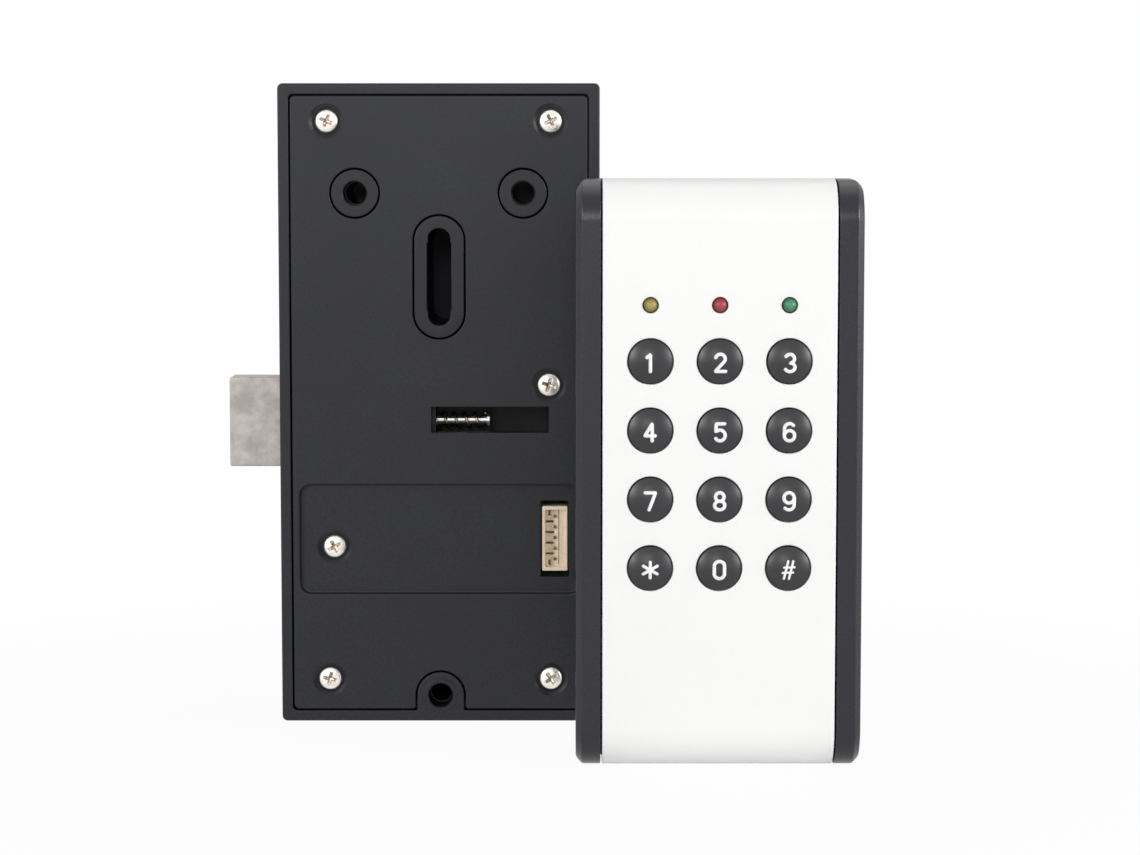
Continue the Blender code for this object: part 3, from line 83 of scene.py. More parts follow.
# Left and right of a unit's centre line.
SIDES = (-1, 1)

Array = np.ndarray
Colour = tuple[float, float, float, float]
Place = tuple[float, float, float]
Box = tuple[float, float, float, float]
log = logging.getLogger("cabinet_lock")


# Outlines and surfaces


def unit_rows(vectors: Array) -> Array:
    """Scale each row to length one."""
    return vectors / np.linalg.norm(vectors, axis=-1, keepdims=True)


def rounded(corners: list, radii: float | list, steps: int = ARC_STEPS,
            closed: bool = True) -> Array:
    """Round a polygon's corners.

    Each arc touches both edges of its corner. Its centre lies on the corner's bisector, at the
    radius over the sine of half the corner's angle, and its points turn evenly from one touching
    point to the other.

    Args:
        corners: points of the polygon, anticlockwise where it is closed.
        radii: one radius for all corners, or one for each.
        steps: edges in each arc.
        closed: whether the last point joins the first. Open ends stay as they are.

    Returns:
        The rounded outline, with repeated points left out.
    """
    points = np.asarray(corners, float)
    sizes = np.broadcast_to(np.asarray(radii, float), len(points)).copy()
    if not closed:
        sizes[[0, -1]] = 0
    share = np.linspace(0, 1, steps + 1)[:, None]
    runs = []
    for corner, before, after, size in zip(points, np.roll(points, 1, 0),
                                           np.roll(points, -1, 0), sizes):
        if size <= 0:
            runs.append(corner[None])
            continue
        back, ahead = unit_rows(before - corner), unit_rows(after - corner)
        half = np.arccos(np.clip(back @ ahead, -1, 1)) / 2
        centre = corner + unit_rows(back + ahead) * size / np.sin(half)
        first = corner + back * size / np.tan(half) - centre
        last = corner + ahead * size / np.tan(half) - centre
        sweep = pi - 2 * half
        runs.append(centre + (first * np.sin((1 - share) * sweep)
                              + last * np.sin(share * sweep)) / np.sin(sweep))
    line = np.concatenate(runs)
    apart = np.linalg.norm(line - np.roll(line, 1, 0), axis=1) > NEAR
    apart[0] |= not closed
    return line[apart]


def rectangle(left: float, low: float, right: float, high: float, radius: float,
              steps: int = ARC_STEPS) -> Array:
    """Outline of a rectangle with rounded corners."""
    return rounded([(left, low), (right, low), (right, high), (left, high)], radius, steps)


def grown(box: Box, by: float) -> Box:
    """Move a box's left, lower, right and upper sides outwards."""
    left, low, right, high = box
    return (left - by, low - by, right + by, high + by)


def circle(x: float, z: float, radius: float, steps: int = CIRCLE_STEPS) -> Array:
    """Outline of a circle: even angles round its centre."""
    angle = np.arange(steps) * 2 * pi / steps
    return np.stack([x + radius * np.cos(angle), z + radius * np.sin(angle)], 1)


def mitres(outline: Array) -> Array:
    """Directions in which a closed anticlockwise outline grows evenly.

    The mitre of a point is the sum of its two edges' outward normals over one plus their dot
    product, so that an offset along it moves both edges by the offset.

    Args:
        outline: the outline's points.

    Returns:
        A direction for each point.
    """
    ahead = unit_rows(np.roll(outline, -1, 0) - outline)
    normal = np.stack([ahead[:, 1], -ahead[:, 0]], 1)
    before = np.roll(normal, 1, 0)
    return (normal + before) / (1 + (normal * before).sum(1, keepdims=True))


def fillet(corner: tuple[float, float], along: tuple[float, float], down: tuple[float, float],
           radius: float, steps: int = FILLET_STEPS) -> Array:
    """Rows of a quarter round at a profile's corner.

    Args:
        corner: offset and depth of the sharp corner.
        along: direction from it to where the round starts.
        down: direction from it to where the round ends.
        radius: the round's radius.
        steps: edges in the round.

    Returns:
        Rows of offset and depth.
    """
    start = (corner[0] + along[0] * radius, corner[1] + along[1] * radius)
    end = (corner[0] + down[0] * radius, corner[1] + down[1] * radius)
    return rounded([start, corner, end], radius, steps, closed=False)


def profile(*parts: Array | tuple) -> Array:
    """Join fillets and single points into one profile."""
    return np.concatenate([np.atleast_2d(np.asarray(part, float)) for part in parts])


def hole(start: float, end: float, ease: float, steps: int = FILLET_STEPS) -> Array:
    """Profile of a hole's wall from one depth to another, its front edge eased."""
    return profile(fillet((0, start), (1, 0), (0, 1), ease, steps), (0, end))


def triangulate(rings: tuple | list, loose: Array, near: float) -> tuple[Array, Array]:
    """Join the points of closed rings, and loose ones, by a constrained Delaunay net.

    Args:
        rings: outlines whose edges the net keeps.
        loose: further points among them.
        near: distance within which two points become one.

    Returns:
        The net's points, and its triangles as numbers of those points.
    """
    flat = np.concatenate([*rings, loose])
    starts = np.cumsum([0, *map(len, rings)])
    links = np.concatenate([
        np.stack([np.arange(len(ring)), np.roll(np.arange(len(ring)), -1)], 1) + start
        for ring, start in zip(rings, starts)])
    found = delaunay_2d_cdt([Vector(point) for point in flat], links.tolist(), [], 0, near,
                            False)
    return np.array([tuple(point) for point in found[0]]), np.array(found[2])


class Plane(Enum):
    """Where an outline's two directions and its depth go: their places among X, Y and Z."""

    FRONT = (0, 2, 1)
    SIDE = (1, 2, 0)


@dataclass
class Skin:
    """A closed surface, gathered from bands round outlines and flat sheets between them."""

    origin: Place
    plane: Plane = Plane.FRONT
    points: list[Array] = field(default_factory=list)
    faces: list[Array] = field(default_factory=list)
    count: int = 0

    def add(self, points: Array, faces: Array) -> None:
        """Add a part of the surface.

        Args:
            points: rows of the outline's two directions and the depth.
            faces: rows of numbers of those points.
        """
        placed = np.empty_like(points)
        placed[:, list(self.plane.value)] = points
        self.points.append(placed + np.asarray(self.origin))
        self.faces.append(faces + self.count)
        self.count += len(points)

    def net(self, grid: Array, keep: Array | slice = slice(None)) -> None:
        """Add a grid of points as quads, each row joined into a ring.

        Args:
            grid: rows of rings of points.
            keep: which quads stay.
        """
        rows, columns = grid.shape[:2]
        index = np.arange(rows * columns).reshape(rows, columns)
        right = np.roll(index, -1, 1)
        quads = np.stack([index[:-1], index[1:], right[1:], right[:-1]], 2)
        self.add(grid.reshape(-1, 3), quads[keep].reshape(-1, 4))

    def carry(self, outline: Array, steps: Array | list,
              drop: list[tuple[int, int]] | None = None) -> tuple[Array, Array]:
        """Carry a profile round a closed outline.

        Point (i, j) is outline point j moved along its mitre by the offset of profile point i,
        at that point's depth.

        Args:
            outline: closed anticlockwise outline.
            steps: the profile, rows of outward offset and depth.
            drop: (row, column) of quads to leave out.

        Returns:
            The first and the last ring.
        """
        rows = np.asarray(steps, float)
        flat = outline[None] + rows[:, None, :1] * mitres(outline)[None]
        keep = np.ones((len(rows) - 1, len(outline)), bool)
        for row, column in drop or []:
            keep[row, column] = False
        return self.band(flat, rows, keep)

    def turn(self, x: float, z: float, steps: Array | list,
             around: int = CIRCLE_STEPS) -> tuple[Array, Array]:
        """Turn a profile round a centre: a point is its radius times cosine and sine.

        Args:
            x: the centre's place across.
            z: the centre's height.
            steps: the profile, rows of radius and depth.
            around: points in each ring.

        Returns:
            The first and the last ring.
        """
        rows = np.asarray(steps, float)
        flat = rows[:, None, :1] * circle(0, 0, 1, around)[None] + np.array([x, z])
        return self.band(flat, rows)

    def band(self, flat: Array, rows: Array,
             keep: Array | slice = slice(None)) -> tuple[Array, Array]:
        """Add a band of flat rings, each at its profile point's depth.

        Args:
            flat: the rings.
            rows: the profile.
            keep: which quads stay.

        Returns:
            The first and the last ring.
        """
        depth = np.broadcast_to(rows[:, None, 1:], (*flat.shape[:2], 1))
        self.net(np.concatenate([flat, depth], 2), keep)
        return flat[0], flat[-1]

    def sheet(self, depth: float, *rings: Array) -> None:
        """Fill the flat region between rings.

        A triangle of the net between them stays where its middle lies inside an odd number of
        rings: a ray from it along X crosses the rings' edges an odd number of times.

        Args:
            depth: the sheet's depth.
            rings: its outlines and holes.
        """
        net, triangles = triangulate(rings, np.empty((0, 2)), NET_NEAR)
        flat = np.concatenate(rings)
        following = np.concatenate([np.roll(ring, -1, 0) for ring in rings])
        middle = net[triangles].mean(1)
        rise = following[:, 1] - flat[:, 1]
        level = middle[:, None, 1]
        crossed = (flat[:, 1] > level) != (following[:, 1] > level)
        share = (level - flat[:, 1]) / np.where(rise == 0, 1, rise)
        reach = flat[:, 0] + share * (following[:, 0] - flat[:, 0])
        inside = (crossed & (middle[:, None, 0] < reach)).sum(1) % 2 == 1
        points = np.column_stack([net, np.full(len(net), depth)])
        self.add(points, triangles[inside])

    def mesh(self, name: str, orient: bool = True) -> bpy.types.Mesh:
        """Weld everything into one mesh in metres.

        Args:
            name: the mesh's name.
            orient: whether the surface is closed, so that its faces are turned outwards.

        Returns:
            The mesh.
        """
        made = bpy.data.meshes.new(name)
        faces = [face for group in self.faces for face in group.tolist()]
        made.from_pydata((np.concatenate(self.points) * MM).tolist(), [], faces)
        work = bmesh.new()
        work.from_mesh(made)
        bmesh.ops.remove_doubles(work, verts=work.verts, dist=WELD)
        bmesh.ops.dissolve_degenerate(work, edges=work.edges, dist=WELD / 10)
        loose = [vertex for vertex in work.verts if not vertex.link_faces]
        bmesh.ops.delete(work, geom=loose, context="VERTS")
        if orient:
            bmesh.ops.recalc_face_normals(work, faces=work.faces)
        work.to_mesh(made)
        work.free()
        return made


# Materials


def linear(colour: str) -> Colour:
    """Turn an sRGB hex colour to linear light.

    Args:
        colour: red, green and blue, such as "3a3b3f".

    Returns:
        The colour for a node, with full alpha.
    """
    channels = np.array([int(colour[place:place + 2], 16) for place in (0, 2, 4)]) / 255
    light = np.where(channels <= 0.04045, channels / 12.92, ((channels + 0.055) / 1.055) ** 2.4)
    return (*map(float, light), 1.0)


def add(tree: bpy.types.NodeTree, kind: str, values: dict | None = None,
        **settings: object) -> bpy.types.Node:
    """Add a node.

    Args:
        tree: the node tree to add it to.
        kind: the node's type, without its "ShaderNode" prefix.
        values: input sockets by name or number, each with a number, a colour or a socket that
            links to it.
        settings: the node's own properties.

    Returns:
        The node.
    """
    node = tree.nodes.new("ShaderNode" + kind)
    for name, value in settings.items():
        setattr(node, name, value)
    for name, value in (values or {}).items():
        if isinstance(value, bpy.types.NodeSocket):
            tree.links.new(value, node.inputs[name])
        else:
            node.inputs[name].default_value = value
    return node


# Numbers of a colour Mix node's sockets.
MIX_A, MIX_B, MIX_OUT = 6, 7, 2


class Nodes(NamedTuple):
    """A material's node tree, its shader and the Object coordinates."""

    tree: bpy.types.NodeTree
    shader: bpy.types.Node
    place: bpy.types.NodeSocket


def blank(name: str) -> tuple[bpy.types.Material, Nodes]:
    """Make a new material.

    Args:
        name: its name.

    Returns:
        The material and its nodes.
    """
    made = bpy.data.materials.new(name)
    made.use_nodes = True
    tree = made.node_tree
    place = add(tree, "TexCoord").outputs["Object"]
    return made, Nodes(tree, tree.nodes["Principled BSDF"], place)


@dataclass(frozen=True)
class Finish:
    """What every finish has: a name, and a material that is made once."""

    name: str

    def material(self) -> bpy.types.Material:
        """The finish's material, made on its first use.

        Returns:
            The material.
        """
        known = bpy.data.materials.get(self.name)
        if known:
            return known
        made, nodes = blank(self.name)
        self.dress(nodes)
        return made

    def dress(self, nodes: Nodes) -> None:
        """Build the nodes from Object coordinates to the shader.

        Args:
            nodes: the material's nodes.
        """
        raise NotImplementedError


@dataclass(frozen=True)
class Grained(Finish):
    """A finish of two tones whose fine grain is in its gloss and its relief, in millimetres."""

    dark: str
    light: str
    roughness: float = 0.55
    swing: float = 0.05
    grain: float = 0.28
    relief: float = 0.010

    def surface(self, nodes: Nodes, share: bpy.types.NodeSocket,
                grain: bpy.types.NodeSocket) -> None:
        """Blend the tones, and let the grain vary the gloss and the bump.

        Args:
            nodes: the material's nodes.
            share: the light tone's share.
            grain: the grain's noise.
        """
        tree, shader, _ = nodes
        tone = add(tree, "Mix", {0: share, MIX_A: linear(self.dark),
                                 MIX_B: linear(self.light)}, data_type="RGBA")
        tree.links.new(tone.outputs[MIX_OUT], shader.inputs["Base Color"])
        gloss = add(tree, "MapRange", {0: grain, 1: 0.3, 2: 0.7,
                                       3: self.roughness - self.swing,
                                       4: self.roughness + self.swing})
        tree.links.new(gloss.outputs[0], shader.inputs["Roughness"])
        bump = add(tree, "Bump", {"Height": grain, "Distance": self.relief * MM})
        tree.links.new(bump.outputs[0], shader.inputs["Normal"])


@dataclass(frozen=True)
class MouldedPlastic(Grained):
    """Injection-moulded plastic whose mould was spark-eroded: a fine even grain."""

    drift: float = 22.0
    specular: float = 0.5
    coat: float = 0.0

    def dress(self, nodes: Nodes) -> None:
        """Grain gives speckle, bump and gloss, and a slow drift changes the tone a little.

        Args:
            nodes: the material's nodes.
        """
        tree, shader, place = nodes
        grain = add(tree, "TexNoise", {"Vector": place, "Scale": 1 / (self.grain * MM),
                                       "Detail": 2.0, "Roughness": 0.6})
        drift = add(tree, "TexNoise", {"Vector": place, "Scale": 1 / (self.drift * MM),
                                       "Detail": 2.0})
        speck = add(tree, "MapRange", {0: grain.outputs["Fac"], 1: 0.32, 2: 0.68})
        both = add(tree, "Math", {0: speck.outputs[0], 1: drift.outputs["Fac"], 2: 0.25},
                   operation="MULTIPLY_ADD")
        self.surface(nodes, both.outputs[0], grain.outputs["Fac"])
        shader.inputs["Specular IOR Level"].default_value = self.specular
        shader.inputs["Coat Weight"].default_value = self.coat


@dataclass(frozen=True)
class Metal(Grained):
    """Metal with a mottled tone and a fine grain that may be drawn out along one direction."""

    roughness: float = 0.35
    swing: float = 0.08
    grain: float = 0.15
    relief: float = 0.004
    mottle: float = 3.0
    stretch: tuple[float, float, float] = (1.0, 1.0, 1.0)

    def dress(self, nodes: Nodes) -> None:
        """Mottle blends two tones, and grain varies the gloss and the bump.

        Args:
            nodes: the material's nodes.
        """
        tree, shader, place = nodes
        drawn = add(tree, "Mapping", {"Vector": place, "Scale": self.stretch})
        mottle = add(tree, "TexNoise", {"Vector": place, "Scale": 1 / (self.mottle * MM),
                                        "Detail": 4.0, "Roughness": 0.65})
        grain = add(tree, "TexNoise", {"Vector": drawn.outputs[0],
                                       "Scale": 1 / (self.grain * MM), "Detail": 3.0})
        spread = add(tree, "MapRange", {0: mottle.outputs["Fac"], 1: 0.35, 2: 0.65})
        self.surface(nodes, spread.outputs[0], grain.outputs["Fac"])
        shader.inputs["Metallic"].default_value = 1.0


@dataclass(frozen=True)
class Tarnished(Metal):
    """Metal whose hollows have tarnished, as the mesh's own tarnish attribute says."""

    tarnish: str = "6a5544"
    patch: float = 0.5

    def dress(self, nodes: Nodes) -> None:
        """The plain metal, blended to the tarnish's tone in patches within the hollows.

        Args:
            nodes: the material's nodes.
        """
        super().dress(nodes)
        tree, shader, place = nodes
        bare = shader.inputs["Base Color"].links[0].from_socket
        known = add(tree, "Attribute", attribute_name="tarnish")
        patch = add(tree, "TexNoise", {"Vector": place, "Scale": 1 / (self.patch * MM),
                                       "Detail": 2.0})
        share = add(tree, "MapRange", {0: patch.outputs["Fac"], 1: 0.35, 2: 0.62, 3: 0.2,
                                       4: 1.0})
        both = add(tree, "Math", {0: share.outputs[0], 1: known.outputs["Fac"]},
                   operation="MULTIPLY")
        tone = add(tree, "Mix", {0: both.outputs[0], MIX_A: bare,
                                 MIX_B: linear(self.tarnish)}, data_type="RGBA")
        tree.links.new(tone.outputs[MIX_OUT], shader.inputs["Base Color"])


@dataclass(frozen=True)
class Lens(Finish):
    """Tinted diffusing epoxy of an unlit lamp, satin: paler middle and darker rim are painted
    light.
    """

    rim: str
    middle: str
    centre: Place
    radius: float
    cloud: float = 0.5
    cloud_share: float = 0.35
    lit_middle_share: float = 0.45
    shaded_rim_share: float = 1.15
    roughness: float = 0.34
    ior: float = 1.54

    def dress(self, nodes: Nodes) -> None:
        """The painted light follows the distance from the lamp's axis, with a little cloudiness.

        Args:
            nodes: the material's nodes.
        """
        tree, shader, place = nodes
        flat = add(tree, "Mapping", {"Vector": place,
                                     "Location": tuple(-part for part in self.centre)})
        shell = add(tree, "Mapping", {"Vector": flat.outputs[0], "Scale": (1.0, 0.0, 1.0)})
        away = add(tree, "VectorMath", {0: shell.outputs[0]}, operation="LENGTH")
        radius = self.radius * MM
        cloud = add(tree, "TexNoise", {"Vector": place, "Scale": 1 / (self.cloud * MM),
                                       "Detail": 2.0})
        wobble = add(tree, "Math", {0: cloud.outputs["Fac"], 1: radius * self.cloud_share},
                     operation="MULTIPLY")
        reach = add(tree, "Math", {0: away.outputs["Value"], 1: wobble.outputs[0]},
                    operation="ADD")
        # Painted light and shade: paler near the axis, darker towards the rim, as if lit through
        # the dome.
        edge = add(tree, "MapRange", {0: reach.outputs[0], 1: radius * self.lit_middle_share,
                                      2: radius * self.shaded_rim_share})
        tone = add(tree, "Mix", {0: edge.outputs[0], MIX_A: linear(self.middle),
                                 MIX_B: linear(self.rim)}, data_type="RGBA")
        tree.links.new(tone.outputs[MIX_OUT], shader.inputs["Base Color"])
        shader.inputs["Roughness"].default_value = self.roughness
        shader.inputs["IOR"].default_value = self.ior


@dataclass(frozen=True)
class Jacketed(Finish):
    """A dry cell: a glossy printed-film jacket, and bare tinplate at both ends."""

    jacket: str
    shade: str
    tin: str
    middle: float
    half: float
    cloud: float = 2.0

    def dress(self, nodes: Nodes) -> None:
        """Height from the cell's middle tells film from tinplate.

        Args:
            nodes: the material's nodes.
        """
        tree, shader, place = nodes
        parts = add(tree, "SeparateXYZ", {0: place})
        height = add(tree, "Math", {0: parts.outputs["Z"], 1: self.middle * MM},
                     operation="SUBTRACT")
        away = add(tree, "Math", {0: height.outputs[0]}, operation="ABSOLUTE")
        bare = add(tree, "Math", {0: away.outputs[0], 1: self.half * MM},
                   operation="GREATER_THAN")
        cloud = add(tree, "TexNoise", {"Vector": place, "Scale": 1 / (self.cloud * MM),
                                       "Detail": 3.0})
        film = add(tree, "Mix", {0: cloud.outputs["Fac"], MIX_A: linear(self.jacket),
                                 MIX_B: linear(self.shade)}, data_type="RGBA")
        tone = add(tree, "Mix", {0: bare.outputs[0], MIX_A: film.outputs[MIX_OUT],
                                 MIX_B: linear(self.tin)}, data_type="RGBA")
        tree.links.new(tone.outputs[MIX_OUT], shader.inputs["Base Color"])
        tree.links.new(bare.outputs[0], shader.inputs["Metallic"])
        gloss = add(tree, "MapRange", {0: cloud.outputs["Fac"], 3: 0.22, 4: 0.38})
        tree.links.new(gloss.outputs[0], shader.inputs["Roughness"])


class Finishes:
    """Every finish of the object, named for what it really is."""

    # Black ABS, spark-eroded mould: dark grey with a fine speckle, faintly cool.
    CASING = MouldedPlastic("black_abs_spark_eroded", "06070b", "25262e", roughness=0.44,
                            grain=0.5, specular=0.37)
    # The keypad's black ABS is a little glossier, so it takes on the light round it.
    CHEEK = MouldedPlastic("black_abs_fine_satin", "0a0a18", "161624", roughness=0.29,
                           grain=0.3, relief=0.004, specular=0.51)
    # White ABS, satin moulded: almost even, with a soft sheen.
    FACE = MouldedPlastic("white_abs_satin", "f3f3f2", "f8f8f7", roughness=0.42, grain=0.20,
                          relief=0.003)
    # Keys of dark grey ABS, smooth moulded: a soft wide highlight on the dome.
    KEY = MouldedPlastic("dark_grey_abs_smooth", "18181c", "202024", roughness=0.36, grain=0.20,
                         relief=0.002, specular=0.6)
    # White pad-printed ink: flat and matt.
    INK = MouldedPlastic("white_pad_printed_ink", "f2f2f2", "fafafa", roughness=0.5, grain=0.10,
                         relief=0.002)
    # Cream nylon of the socket, natural colour: warm and waxy.
    SOCKET = MouldedPlastic("natural_nylon_cream", "ecd6b4", "fff0da", roughness=0.45, grain=0.6,
                            relief=0.006, drift=5.0)
    # Black glass-filled nylon of the gearbox, carriage and buzzer.
    NYLON = MouldedPlastic("black_glass_filled_nylon", "141415", "222224", roughness=0.5)
    # Grey silicone rubber of the keys' mat: matt and even.
    SILICONE = MouldedPlastic("grey_silicone_rubber", "8a8a8e", "9c9ca0", roughness=0.7)
    # Green solder mask over glass-epoxy board: glossy, mottled by the copper under it.
    BOARD = MouldedPlastic("green_solder_mask", "12482a", "1f6a40", roughness=0.32, grain=1.6,
                           relief=0.012, drift=6.0, coat=0.3)
    # Steel bolt, tumbled and zinc plated: pale warm grey, mottled, quite matt.
    BOLT = Metal("tumbled_zinc_plated_steel", "9a938e", "b3ada9", roughness=0.46, mottle=3.4,
                 grain=0.22, relief=0.012)
    # Bright nickel plate of screws, wire, pins and contacts.
    NICKEL = Metal("bright_nickel_plate", "d9d0c4", "f4efe8", roughness=0.34, mottle=1.2,
                   grain=0.10, relief=0.002)
    # Tinned pins of the socket: dull grey.
    PIN = Metal("dull_tinned_brass", "5e5a54", "7c776f", roughness=0.5, mottle=0.6, grain=0.10,
                relief=0.002)
    # Nickel-plated screws, their cross recess tarnished brown.
    SCREW = Tarnished("nickel_plate_tarnished_recess", "e2dbd0", "faf6ef", roughness=0.40,
                      mottle=0.9, grain=0.10, relief=0.003, tarnish="8a6f58")
    # Drawn wire of the coil: warmer, with the bronze tint of spring tempering.
    WIRE = Metal("tempered_spring_wire", "b09a78", "e0cda8", roughness=0.30, mottle=0.8,
                 grain=0.10, relief=0.001)
    # Ground output shaft: bright and smooth.
    SHAFT = Metal("ground_bright_steel", "e6e4e0", "ffffff", roughness=0.38, mottle=1.5,
                  grain=0.10, relief=0.001)
    # Drawn steel can of the motor, fine rings of the tool along it.
    MOTOR = Metal("drawn_steel_can", "9c9c9c", "c4c4c4", roughness=0.34, mottle=2.0,
                  stretch=(0.05, 1.0, 1.0))
    # Turned brass inserts.
    BRASS = Metal("turned_brass", "b08a3e", "d9b565", roughness=0.28, mottle=1.0)


# Making pieces


def stand(name: str, data: bpy.types.ID) -> bpy.types.Object:
    """Put an object into the scene, at the origin.

    Args:
        name: the object's name.
        data: its mesh, light or camera.

    Returns:
        The object.
    """
    thing = bpy.data.objects.new(name, data)
    bpy.context.scene.collection.objects.link(thing)
    return thing


def face_front(mesh: bpy.types.Mesh) -> None:
    """Turn a flat mesh's faces to the front."""
    if mesh.polygons[0].normal.y > 0:
        mesh.flip_normals()


def finish_piece(mesh: bpy.types.Mesh, finish: Finish, body: str, slot: str,
                 *nodes: str, sharp: float = SHARP_ANGLE) -> bpy.types.Object:
    """Make a piece of a mesh: shade it, dress it, hang it on its body and hide its CAD nodes.

    A face square to an axis belongs to a plane and is shaded flat, the others smoothly.

    Args:
        mesh: the piece's mesh, in place and in metres.
        finish: what it is made of.
        body: the moving body it rides on.
        slot: the record's material slot; not used.
        nodes: CAD nodes that it stands for.
        sharp: edges that bend more than this stay sharp.

    Returns:
        The piece.
    """
    mesh.materials.clear()
    mesh.materials.append(finish.material())
    normals = np.empty(len(mesh.polygons) * 3, np.float32)
    mesh.polygons.foreach_get("normal", normals)
    curved = np.abs(normals.reshape(-1, 3)).max(1) < FLAT
    mesh.polygons.foreach_set("use_smooth", curved)
    mesh.set_sharp_from_angle(angle=sharp)
    piece = stand(mesh.name, mesh)
    smooth = piece.modifiers.new("even_normals", "WEIGHTED_NORMAL")
    smooth.keep_sharp = True
    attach(piece, body)
    if nodes:
        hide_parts(*nodes)
    log.info("%s: %d faces of %s", mesh.name, len(mesh.polygons), finish.name)
    return piece


def combine(mesh: bpy.types.Mesh, tool: bpy.types.Mesh, operation: str) -> bpy.types.Mesh:
    """Cut a mesh with another, or join them, and clear the tool away.

    Args:
        mesh: the mesh that changes.
        tool: the mesh that changes it.
        operation: UNION, DIFFERENCE or INTERSECT.

    Returns:
        The new mesh, under the old one's name.
    """
    pair = [stand("work", mesh), stand("tool", tool)]
    change = pair[0].modifiers.new("change", "BOOLEAN")
    change.object = pair[1]
    change.operation = operation
    change.solver = "EXACT"
    result = bpy.data.meshes.new_from_object(
        pair[0].evaluated_get(bpy.context.evaluated_depsgraph_get()))
    for thing in pair:
        bpy.data.objects.remove(thing)
    name = mesh.name
    for old in (mesh, tool):
        bpy.data.meshes.remove(old)
    result.name = name
    return result


def block(skin: Skin, outline: Array, front: float, back: float) -> None:
    """Add a closed block to a skin: an outline carried from one depth to another.

    Args:
        skin: the surface it is added to.
        outline: its closed outline.
        front: depth of its front face.
        back: depth of its back face.
    """
    first, last = skin.carry(outline, [(0, front), (0, back)])
    skin.sheet(front, first)
    skin.sheet(back, last)


# Screws


@dataclass(frozen=True)
class PanScrew:
    """A pan-head screw with a cross recess.

    The head is a shallow dome turned about its axis. The recess is a cross of two bars, eased at
    its edges, whose depth falls evenly from the middle to the bars' ends.
    """

    length: float = 7.0
    # The head with its crown and rim, and the shank with its pointed tip.
    radius: float = 2.3
    rise: float = 1.2
    crown: float = 0.55
    crown_power: float = 2.6
    rim: float = 0.18
    rim_from: float = 0.86
    shank: float = 1.0
    tip: float = 0.7
    # The cross recess, and the depth from which it is fully tarnished.
    arm_half: float = 0.38
    arm_reach: float = 1.5
    arm_ease: float = 0.16
    recess: float = 0.85
    recess_reach: float = 1.9
    stain: float = 0.35
    rings: int = 34
    around: int = FINE_STEPS

    def dome(self, share: Array) -> Array:
        """Height of the head over its seat: a crown's power curve, less a squared fall at the rim.

        Args:
            share: distances from the axis, as shares of the head's radius.

        Returns:
            The heights.
        """
        fall = np.clip((share - self.rim_from) / (1 - self.rim_from), 0, 1)
        return self.rise - self.crown * share ** self.crown_power - self.rim * fall ** 2

    def sunk(self, across: Array, along: Array, reach: Array) -> Array:
        """How far the recess sinks the dome: smoothly from its edge, and less further out.

        Args:
            across: places along the cross's first bar.
            along: places along its second bar.
            reach: distances from the axis.

        Returns:
            The depths.
        """
        arm = np.minimum(np.maximum(np.abs(across) - self.arm_half,
                                    np.abs(along) - self.arm_reach),
                         np.maximum(np.abs(along) - self.arm_half,
                                    np.abs(across) - self.arm_reach))
        ease = np.clip(-arm / self.arm_ease, 0, 1)
        return ease * ease * (3 - 2 * ease) * self.recess * (1 - reach / self.recess_reach)

    def make(self, name: str, node: str, origin: Place, place: Place, facing: int,
             twist: float) -> None:
        """Make the screw.

        Args:
            name: the piece's name.
            node: the CAD node it stands for.
            origin: the unit's origin.
            place: the seat's place across, its height and its depth.
            facing: -1 where the head looks to the front, 1 where it looks to the back.
            twist: how far the cross is turned, in radians.
        """
        x, z, seat = place
        share = np.linspace(0, 1, self.rings)[:, None]
        angle = np.arange(self.around)[None] * 2 * pi / self.around
        reach = self.radius * share
        height = self.dome(share) - self.sunk(reach * np.cos(angle - twist),
                                              reach * np.sin(angle - twist), reach)
        rows = [np.stack([reach * np.cos(angle) + x, reach * np.sin(angle) + z,
                          seat + facing * height], 2)]
        for size, level in ((self.radius, 0.0), (self.shank, 0.0),
                            (self.shank, self.tip - self.length), (0.0, -self.length)):
            rows.append(np.column_stack([circle(x, z, size, self.around),
                                         np.full(self.around, seat + facing * level)])[None])
        skin = Skin(origin)
        skin.net(np.concatenate(rows))
        mesh = skin.mesh(name)
        self.stain_recess(mesh, origin, place, facing)
        finish_piece(mesh, Finishes.SCREW, "root", "nickel_steel", node, sharp=SCREW_SHARP)

    def stain_recess(self, mesh: bpy.types.Mesh, origin: Place, place: Place,
                     facing: int) -> None:
        """Note in the tarnish attribute how deep each point lies under the whole dome.

        Args:
            mesh: the screw's mesh.
            origin: the unit's origin.
            place: the seat's place across, its height and its depth.
            facing: -1 where the head looks to the front, 1 where it looks to the back.
        """
        x, z, seat = place
        points = np.empty(len(mesh.vertices) * 3)
        mesh.vertices.foreach_get("co", points)
        points = points.reshape(-1, 3) / MM - np.asarray(origin)
        away = np.hypot(points[:, 0] - x, points[:, 2] - z)
        whole = self.dome(np.clip(away / self.radius, 0, 1))
        depth = whole - facing * (points[:, 1] - seat)
        tarnish = mesh.attributes.new("tarnish", "FLOAT", "POINT")
        tarnish.data.foreach_set("value", np.clip(depth / self.stain, 0, 1))


# Bolt unit


